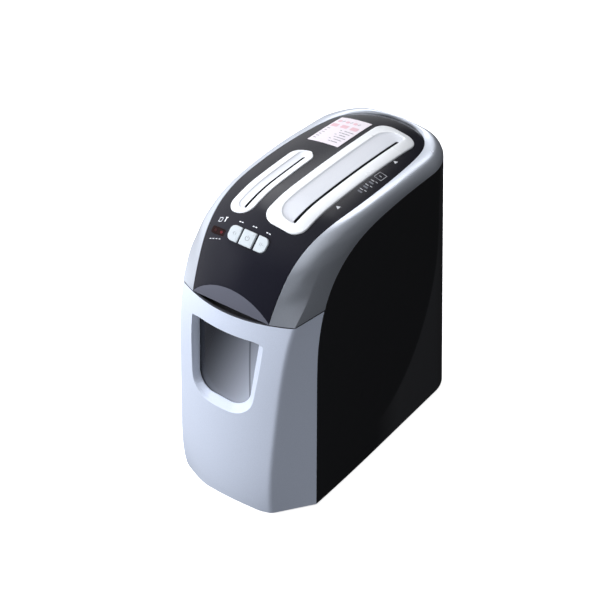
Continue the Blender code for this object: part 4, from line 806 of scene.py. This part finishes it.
def make_bezel(name, b, node):
    """A raised rim round a guide trough that slopes down to an open slit."""
    outer = np.array(rounded(b["x"], b["y"], b["r"], *STEPS))
    dish = dish_loop(b)
    slit_x = (b["slit"] - SLIT_HALF, b["slit"] + SLIT_HALF)
    slit = np.array(rounded(slit_x, b["slit_y"], SLIT_ROUND, *STEPS))

    def at(points, rise):
        return [(x, y, panel_z(x, y) + rise) for x, y in points]

    loops = [at(outer, -2.5), at(outer, BEZEL_RISE - 1.1)]
    loops += [at(offset_loop(outer, inset), BEZEL_RISE - drop) for inset, drop in BEZEL_EDGE]
    rim = offset_loop(dish, -1.1)
    base = offset_loop(outer, BEZEL_EDGE[-1][0])
    loops += [at(base + (rim - base) * share, BEZEL_RISE) for share in (0.33, 0.66, 1.0)]
    loops.append(at(offset_loop(dish, -0.5), BEZEL_RISE - 0.12))
    for share in DISH_SHARES:
        drop = DISH_EDGE_DROP + (DISH_DEPTH + BEZEL_RISE - DISH_EDGE_DROP) * share**0.5
        loops.append(at(dish + (slit - dish) * share, BEZEL_RISE - drop))
    loops.append(at(slit, -DISH_DEPTH - 0.8))
    loops += [at(loop, -BEZEL_DEPTH - SLIT_WALL) for loop in (slit, offset_loop(slit, -1.2))]
    loops += [at(loop, -BEZEL_DEPTH) for loop in (offset_loop(dish, -0.6), offset_loop(outer, 1.2))]
    made = rings(name, loops, "cabinet", white, closed=True)
    for look in (trough_painted_shade, black):
        made.data.materials.append(look)
    for face in made.data.polygons:
        x, y, z = np.array(face.center) / MM
        rise = z - panel_z(x, y)
        # Faces in the trough take the guide's painted shade, and faces deep in the slit take black as
        # painted shade inside the slit.
        if rise < BEZEL_RISE - 0.5 and inside_loop(dish, x, y):
            face.material_index = 2 if rise < -DISH_DEPTH - 0.3 else 1
    return stand_for(soften(made, 0.15, 88), node)


make_bezel("paper_slot_frame", PAPER, "paper_slot_bezel")
make_bezel("disc_slot_frame", DISC, "disc_slot_bezel")


# Printed marks: thin closed pieces that stand a tenth of a millimetre proud
LABEL_TOP = 0.7  # above the panel


def bar(x0, y0, x1, y1, width):
    """The outline of a stroke from one point to another."""
    way = np.array([x1 - x0, y1 - y0]) / math.hypot(x1 - x0, y1 - y0)
    side = np.array([-way[1], way[0]]) * width / 2
    a, b = np.array([x0, y0]), np.array([x1, y1])
    return [tuple(a - side), tuple(b - side), tuple(b + side), tuple(a + side)]


def dot(x, y, r, count=20):
    turns = [2 * math.pi * k / count for k in range(count)]
    return [(x + r * math.cos(t), y + r * math.sin(t)) for t in turns]


def stroke_arc(x, y, r, start, end, width, steps=20):
    """The outline of a curved stroke, between two angles in degrees."""
    turns = np.radians(np.linspace(start, end, steps + 1))
    outer = [(x + (r + width / 2) * math.cos(t), y + (r + width / 2) * math.sin(t)) for t in turns]
    inner = [(x + (r - width / 2) * math.cos(t), y + (r - width / 2) * math.sin(t)) for t in turns]
    return outer + inner[::-1]


PRINTS = {"white_trim": 0, "label_paper": 0, "red_lens": 0}  # how many marks each slot has so far


def printed(loops, body, material, slot):
    PRINTS[slot] += 1
    mark = rings(f"print_{slot}_{PRINTS[slot]}", loops, body, material, smooth=False)


def panel_mark(points, material=ink_white, high=0.1, slot="white_trim"):
    """A mark that follows the crowned panel."""
    loops = [[(x, y, panel_z(x, y) + level) for x, y in points] for level in (high - 0.45, high)]
    printed(loops, "cabinet", material, slot)


def panel_bars(*bars):
    for ends_and_width in bars:
        panel_mark(bar(*ends_and_width))


def slope_mark(points, high, origin, body, material, slot="white_trim"):
    """A flat mark on the slope."""
    printed([on_slope(points, level, origin) for level in (high - 0.4, high)], body, material, slot)


def cap_marks(name, *shapes):
    """Marks on a button, which move with it."""
    middle, top = BUTTON_TOPS[name]
    for shape in shapes:
        slope_mark([(middle + a, b) for a, b in shape], top + 0.1, centre_origin, name, ink_grey)


def label_mark(points, ink):
    panel_mark(points, ink, LABEL_TOP + 0.1, "label_paper")


# The power sign, an arrowhead with a bar, and two bars with a dot
cap_marks("power_button", stroke_arc(0.0, 0.0, 2.7, 125, 415, 0.6), bar(0.0, 0.6, 0.0, 3.6, 0.6))
arrowhead = bar(0.6, 1.8, -1.8, 0.0, 0.5), bar(-1.7, 0.1, 0.6, -1.8, 0.5)
cap_marks("left_button", *arrowhead, bar(2.4, 1.4, 2.4, -1.4, 0.5))
cap_marks("right_button", *[bar(a, 2.0, a, -2.0, 0.5) for a in (-1.8, 0.4)], dot(2.6, 0.0, 0.5))

# Dashes above the buttons, and the two lamps
CAPTION_Y = -122.6
for left, right in BUTTON_EDGES:
    starts = [(left + right) / 2 + shift for shift in (-2.6, 1.0)]
    panel_bars(*[(x, CAPTION_Y, x + 2.3, CAPTION_Y, 1.1) for x in starts])
for x, look in ((-49.0, lamp_dark), (-40.5, ink_red)):
    slope_mark(dot(x, 0.0, 1.7), 0.5, lens_origin, "cabinet", look, "red_lens")

# Two small signs above the lamps, and dashes below them
panel_bars(
    (-52.3, -127.0, -52.3, -122.6, 0.6),
    (-48.2, -127.0, -48.2, -122.6, 0.6),
    (-52.0, -127.0, -48.5, -127.0, 0.6),
    (-52.0, -122.6, -48.5, -122.6, 0.6),
    (-43.5, -126.6, -43.5, -121.6, 1.3),
    (-45.2, -121.4, -41.6, -121.4, 0.9),
)
panel_bars(*[(x, -144.0, x + 2.2, -144.0, 0.5) for x in (-53.0, -48.5, -44.0, -39.5)])

# Right of the paper slot: two triangles, a framed sign and three rows of marks
for x, y in ((57.0, -40.0), (54.5, 86.0)):
    panel_mark([(x, y), (x + 4.6, y - 3.2), (x + 4.6, y + 3.2)])
panel_bars(
    (56.5, 41.0, 56.5, 54.0, 0.4),
    (66.5, 41.0, 66.5, 54.0, 0.4),
    (56.5, 41.0, 66.5, 41.0, 0.4),
    (56.5, 54.0, 66.5, 54.0, 0.4),
    (60.0, 47.5, 63.0, 47.5, 0.7),
)
for y in (33.0, 21.0, 9.0):
    panel_bars((57.5, y, 62.0, y, 0.9), (63.5, y + 1.0, 66.5, y + 1.0, 0.9))
    panel_mark(rounded((58.0, 64.0), (y - 6.5, y - 3.5), 0.6, 3), ink_grey)

# The label: three dots, strokes and blocks, and six lines of dashes
for k in range(3):
    label_mark(dot(-49.0 + k * 11.5, 121.5, 3.0), ink_pink)
    label_mark(bar(-44.5 + k * 11.5, 119.8, -42.6 + k * 11.5, 124.0, 0.8), ink_grey)
    label_mark(rounded((-53.0 + k * 14.5, -43.0 + k * 14.5), (104.0, 112.5), 1.0, 3), ink_pink)
for k in range(6):
    y = 97.5 - k * 6.0
    label_mark(bar(-52.0, y, -30.0 + 3 * (k % 2), y, 1.2), ink_grey)
    label_mark(bar(-26.0, y, -13.0 - 2 * (k % 3), y, 1.2), ink_grey)


# Bin front
WINDOW_TOP_ROUND = 3.0
CREASE_SOFT = {1: 4.5, -1: 3.6}  # how far the rounding of each fold reaches, right and left


def filleted(points, radii, steps=12):
    """A closed outline with each corner rounded by its own radius."""
    made = []
    for k, (x, z) in enumerate(points):
        here = np.array([x, z])
        ways = [np.array(points[n % len(points)]) - here for n in (k - 1, k + 1)]
        before, after = [way / np.linalg.norm(way) for way in ways]
        half_angle = math.acos(float(np.clip(before @ after, -1, 1))) / 2
        centre_way = (before + after) / np.linalg.norm(before + after)
        centre = here + centre_way * radii[k] / math.sin(half_angle)
        start = here + before * radii[k] / math.tan(half_angle) - centre
        end = here + after * radii[k] / math.tan(half_angle) - centre
        for n in range(steps + 1):
            way = start * (1 - n / steps) + end * n / steps
            made.append(tuple(centre + way / np.linalg.norm(way) * radii[k]))
    return made


def window_outline(share, grow=0.0):
    """The window's edge, moved in by a share of its bevels. Its right edge slants."""
    left, right, low, top = [bevel * share - grow for bevel in WINDOW_BEVELS]
    low_z, top_z = WINDOW_Z[0] + low, WINDOW_Z[1] - top
    right_top = WINDOW_X[1] - right - WINDOW_SLANT * (WINDOW_Z[1] - top_z)
    right_low = WINDOW_X[1] - right - WINDOW_SLANT * (WINDOW_Z[1] - low_z)
    left_x = WINDOW_X[0] + left
    corners = ((right_top, top_z), (right_low, low_z), (left_x, low_z), (left_x, top_z))
    rounds = (WINDOW_TOP_ROUND, WINDOW_ROUNDS[1] - low, WINDOW_ROUNDS[0] - low, WINDOW_TOP_ROUND)
    return filleted(corners, rounds)


def window_loop(inset, share, flat=None, grow=0.0):
    """The window's edge on the bowed front, or at one y if `flat` is given."""
    points = window_outline(share, grow)
    return [(x, bow(x, z, inset) if flat is None else flat, z) for x, z in points]


def bin_half(z, side):
    """One side of the front in plan, from its middle to its foot beside the cover."""
    fold = crease(z) if side > 0 else -left_crease(z)
    foot_y = edge_y(z) - GAP
    foot = np.array([outline(foot_y, z, side)[0], foot_y])
    fold_point = np.array([fold, bow(fold, z)])
    half = [np.array([x, bow(x, z)]) for x in np.linspace(0, fold - CREASE_SOFT[side], 25)]
    before = half[-1]
    way = (foot - fold_point) / np.linalg.norm(foot - fold_point)
    after = fold_point + way * CREASE_SOFT[side]
    for t in [k / 8 for k in range(1, 9)]:
        half.append((1 - t) ** 2 * before + 2 * t * (1 - t) * fold_point + t * t * after)
    return half + [after + (foot - after) * k / 8 for k in range(1, 9)]


def bin_row(z, depth):
    """The front in plan at one height, moved back by a depth. Its foot rises in an arch."""
    line = np.array([p * (-1, 1) for p in bin_half(z, -1)[:0:-1]] + bin_half(z, 1))
    if depth:
        along = np.gradient(line, axis=0)
        along /= np.linalg.norm(along, axis=1)[:, None]
        line = line + np.stack([-along[:, 1], along[:, 0]], 1) * depth
    lift = max(1 - (z - BASE_Z) / BIN_ARCH_FADE, 0) * BIN_ARCH_RISE
    rise = [lift * max(1 - (x / BIN_ARCH_HALF) ** 2, 0) for x, _ in line]
    return [(x, y, z + up) for (x, y), up in zip(line, rise)]


BIN_LEVELS = list(np.linspace(BASE_Z, 300, 75)) + [303.0, 305.2, BIN_TOP_Z]
bin_grids = [[bin_row(z, depth) for z in BIN_LEVELS] for depth in (0, WALL)]
bin_face = slab("bin_face", *bin_grids, "bin", silver)
TOOL_PROUD = 3.0  # how far the window's cutter starts in front of the bin
TOOL_FRONT_Y, TOOL_REAR_Y = -215.0, -150.0
OUT_SHARE = -TOOL_PROUD / WINDOW_DEPTH
window_cut = [
    window_loop(0, OUT_SHARE, TOOL_FRONT_Y),
    window_loop(-TOOL_PROUD, OUT_SHARE),
    window_loop(WINDOW_DEPTH, 1),
    window_loop(0, 1, TOOL_REAR_Y),
]
cut(bin_face, rings("tool", window_cut, None, None), merge=0.3)
stand_for(soften(bin_face, 0.35), "bin_front")

# The sloped frame behind the window's edge, and the glass behind that
RECESS_START, RECESS_GROW = 2.2, 2.5
recess_loops = [
    window_loop(RECESS_START, 0.0, None, RECESS_GROW),
    window_loop(RECESS_START, 0.2),
    window_loop(WINDOW_DEPTH, 1),
    window_loop(WINDOW_DEPTH + 1.0, 1),
    window_loop(WINDOW_DEPTH + 1.0, 0.0, None, RECESS_GROW),
]
recess = rings("window_recess", recess_loops, "bin", silver, closed=True)
soften(recess, 0.3)


def bow_slab(name, x, z, insets, body, material, cells=40):
    """A plate that follows the bowed front between two insets."""
    xs, zs = np.linspace(*x, cells + 1), np.linspace(*z, cells + 1)
    return slab(name, *[[[(v, bow(v, w, i), w) for v in xs] for w in zs] for i in insets], body, material)


GLASS_INSET, GLASS_THICK = WINDOW_DEPTH + 1.95, 2.0
glass_insets = (GLASS_INSET, GLASS_INSET + GLASS_THICK)
glass_x, glass_z = widened(WINDOW_X, 1), (WINDOW_Z[0] + 1, WINDOW_Z[1] - 1)
pane = bow_slab("window_pane", glass_x, glass_z, glass_insets, "bin", smoke)
stand_for(pane, "bin_window")

# Camera, floor and lights, in metres
AZIMUTH, ELEVATION = math.radians(35.55), math.radians(38.67)
CAMERA_PLACE, CAMERA_LENS = (1.46084, -2.08008, 2.24085), 156.5


def faced(made, forward):
    """Turns an object's own -Z along a direction."""
    made.rotation_mode = "QUATERNION"
    made.rotation_quaternion = forward.to_track_quat("-Z", "Y")


level = math.cos(ELEVATION)
view = Vector((-math.sin(AZIMUTH) * level, math.cos(AZIMUTH) * level, -math.sin(ELEVATION)))
camera = add(bpy.data.objects.new("camera", bpy.data.cameras.new("camera")))
camera.data.lens, camera.data.sensor_width = CAMERA_LENS, 36.0
camera.data.clip_end = 50
camera.location = CAMERA_PLACE
faced(camera, view)
bpy.context.scene.camera = camera

FLOOR_REACH = 20.0
floor_mesh = bpy.data.meshes.new("floor")
floor_corners = [(x * FLOOR_REACH, y * FLOOR_REACH, 0) for x, y in ((-1, -1), (1, -1), (1, 1), (-1, 1))]
floor_mesh.from_pydata(floor_corners, [], [(0, 1, 2, 3)])
floor = add(bpy.data.objects.new("floor", floor_mesh))
floor_look, tree, shader = shader_of("floor_paper")
shader.inputs["Base Color"].default_value = (0.9, 0.9, 0.9, 1)
shader.inputs["Roughness"].default_value = 1.0
shader.inputs["Emission Color"].default_value = (1, 1, 1, 1)
shader.inputs["Emission Strength"].default_value = 0.85
floor_mesh.materials.append(floor_look)
floor.visible_glossy = False
floor.visible_diffuse = False

# Name, place, height aimed at, size, watts, colour, whether glossy surfaces reflect it
LIGHTS = (
    ("key", (-0.95, -1.25, 0.85), 0.22, (0.6, 0.5), 31, (0.93, 0.96, 1.0), False),
    ("fill", (1.3, -1.6, 0.6), 0.2, (0.8, 0.8), 14, (0.92, 0.95, 1.0), False),
    ("overhead", (-0.3, -0.2, 1.7), 0.3, (0.8, 0.8), 9, (0.97, 0.98, 1.0), False),
    ("top", (-0.9, 1.4, 1.9), 0.3, (1.4, 1.2), 13, (0.97, 0.98, 1.0), True),
)
for name, place, aim, size, power, colour, mirrored in LIGHTS:
    light = bpy.data.lights.new(name, "AREA")
    light.shape = "RECTANGLE"
    light.size, light.size_y = size
    light.energy, light.color = power, colour
    lamp = add(bpy.data.objects.new(name, light))
    lamp.location = place
    faced(lamp, Vector((0, 0, aim)) - Vector(place))
    lamp.visible_camera = False
    lamp.visible_glossy = mirrored

# A dim room: lighter to the left and overhead, dark to the right and below, and white to the camera
world = bpy.data.worlds.new("studio")
bpy.context.scene.world = world
world.use_nodes = True
tree = world.node_tree


def ramp_of(value, low, high, least, most):
    """Runs from least to most as the value runs from low to high."""
    node = tree.nodes.new("ShaderNodeMapRange")
    for name, number in zip(("From Min", "From Max", "To Min", "To Max"), (low, high, least, most)):
        node.inputs[name].default_value = number
    tree.links.new(value, node.inputs["Value"])
    return node.outputs["Result"]


room = tree.nodes.new("ShaderNodeTexCoord")
axes = tree.nodes.new("ShaderNodeSeparateXYZ")
tree.links.new(room.outputs["Generated"], axes.inputs["Vector"])
left_light = ramp_of(axes.outputs["X"], -0.3, -0.85, 0.055, 1.25)
rear_share = ramp_of(axes.outputs["Y"], -0.9, -0.2, 0.4, 1.0)
sky_light = ramp_of(axes.outputs["Z"], 0.55, 0.95, 0.0, 0.3)
above = ramp_of(axes.outputs["Z"], -0.7, 0.02, 0.3, 1.0)
glow = math_in(tree, "ADD", math_in(tree, "MULTIPLY", left_light, rear_share), sky_light)
backdrop = tree.nodes["Background"]
backdrop.inputs["Color"].default_value = (0.97, 0.98, 1.0, 1)
tree.links.new(math_in(tree, "MULTIPLY", glow, above), backdrop.inputs["Strength"])
seen = tree.nodes.new("ShaderNodeBackground")
seen.inputs["Color"].default_value = (1, 1, 1, 1)
path = tree.nodes.new("ShaderNodeLightPath")
mix = tree.nodes.new("ShaderNodeMixShader")
tree.links.new(path.outputs["Is Camera Ray"], mix.inputs["Fac"])
tree.links.new(backdrop.outputs["Background"], mix.inputs[1])
tree.links.new(seen.outputs["Background"], mix.inputs[2])
tree.links.new(mix.outputs["Shader"], tree.nodes["World Output"].inputs["Surface"])
bpy.context.scene.view_settings.view_transform = "Standard"
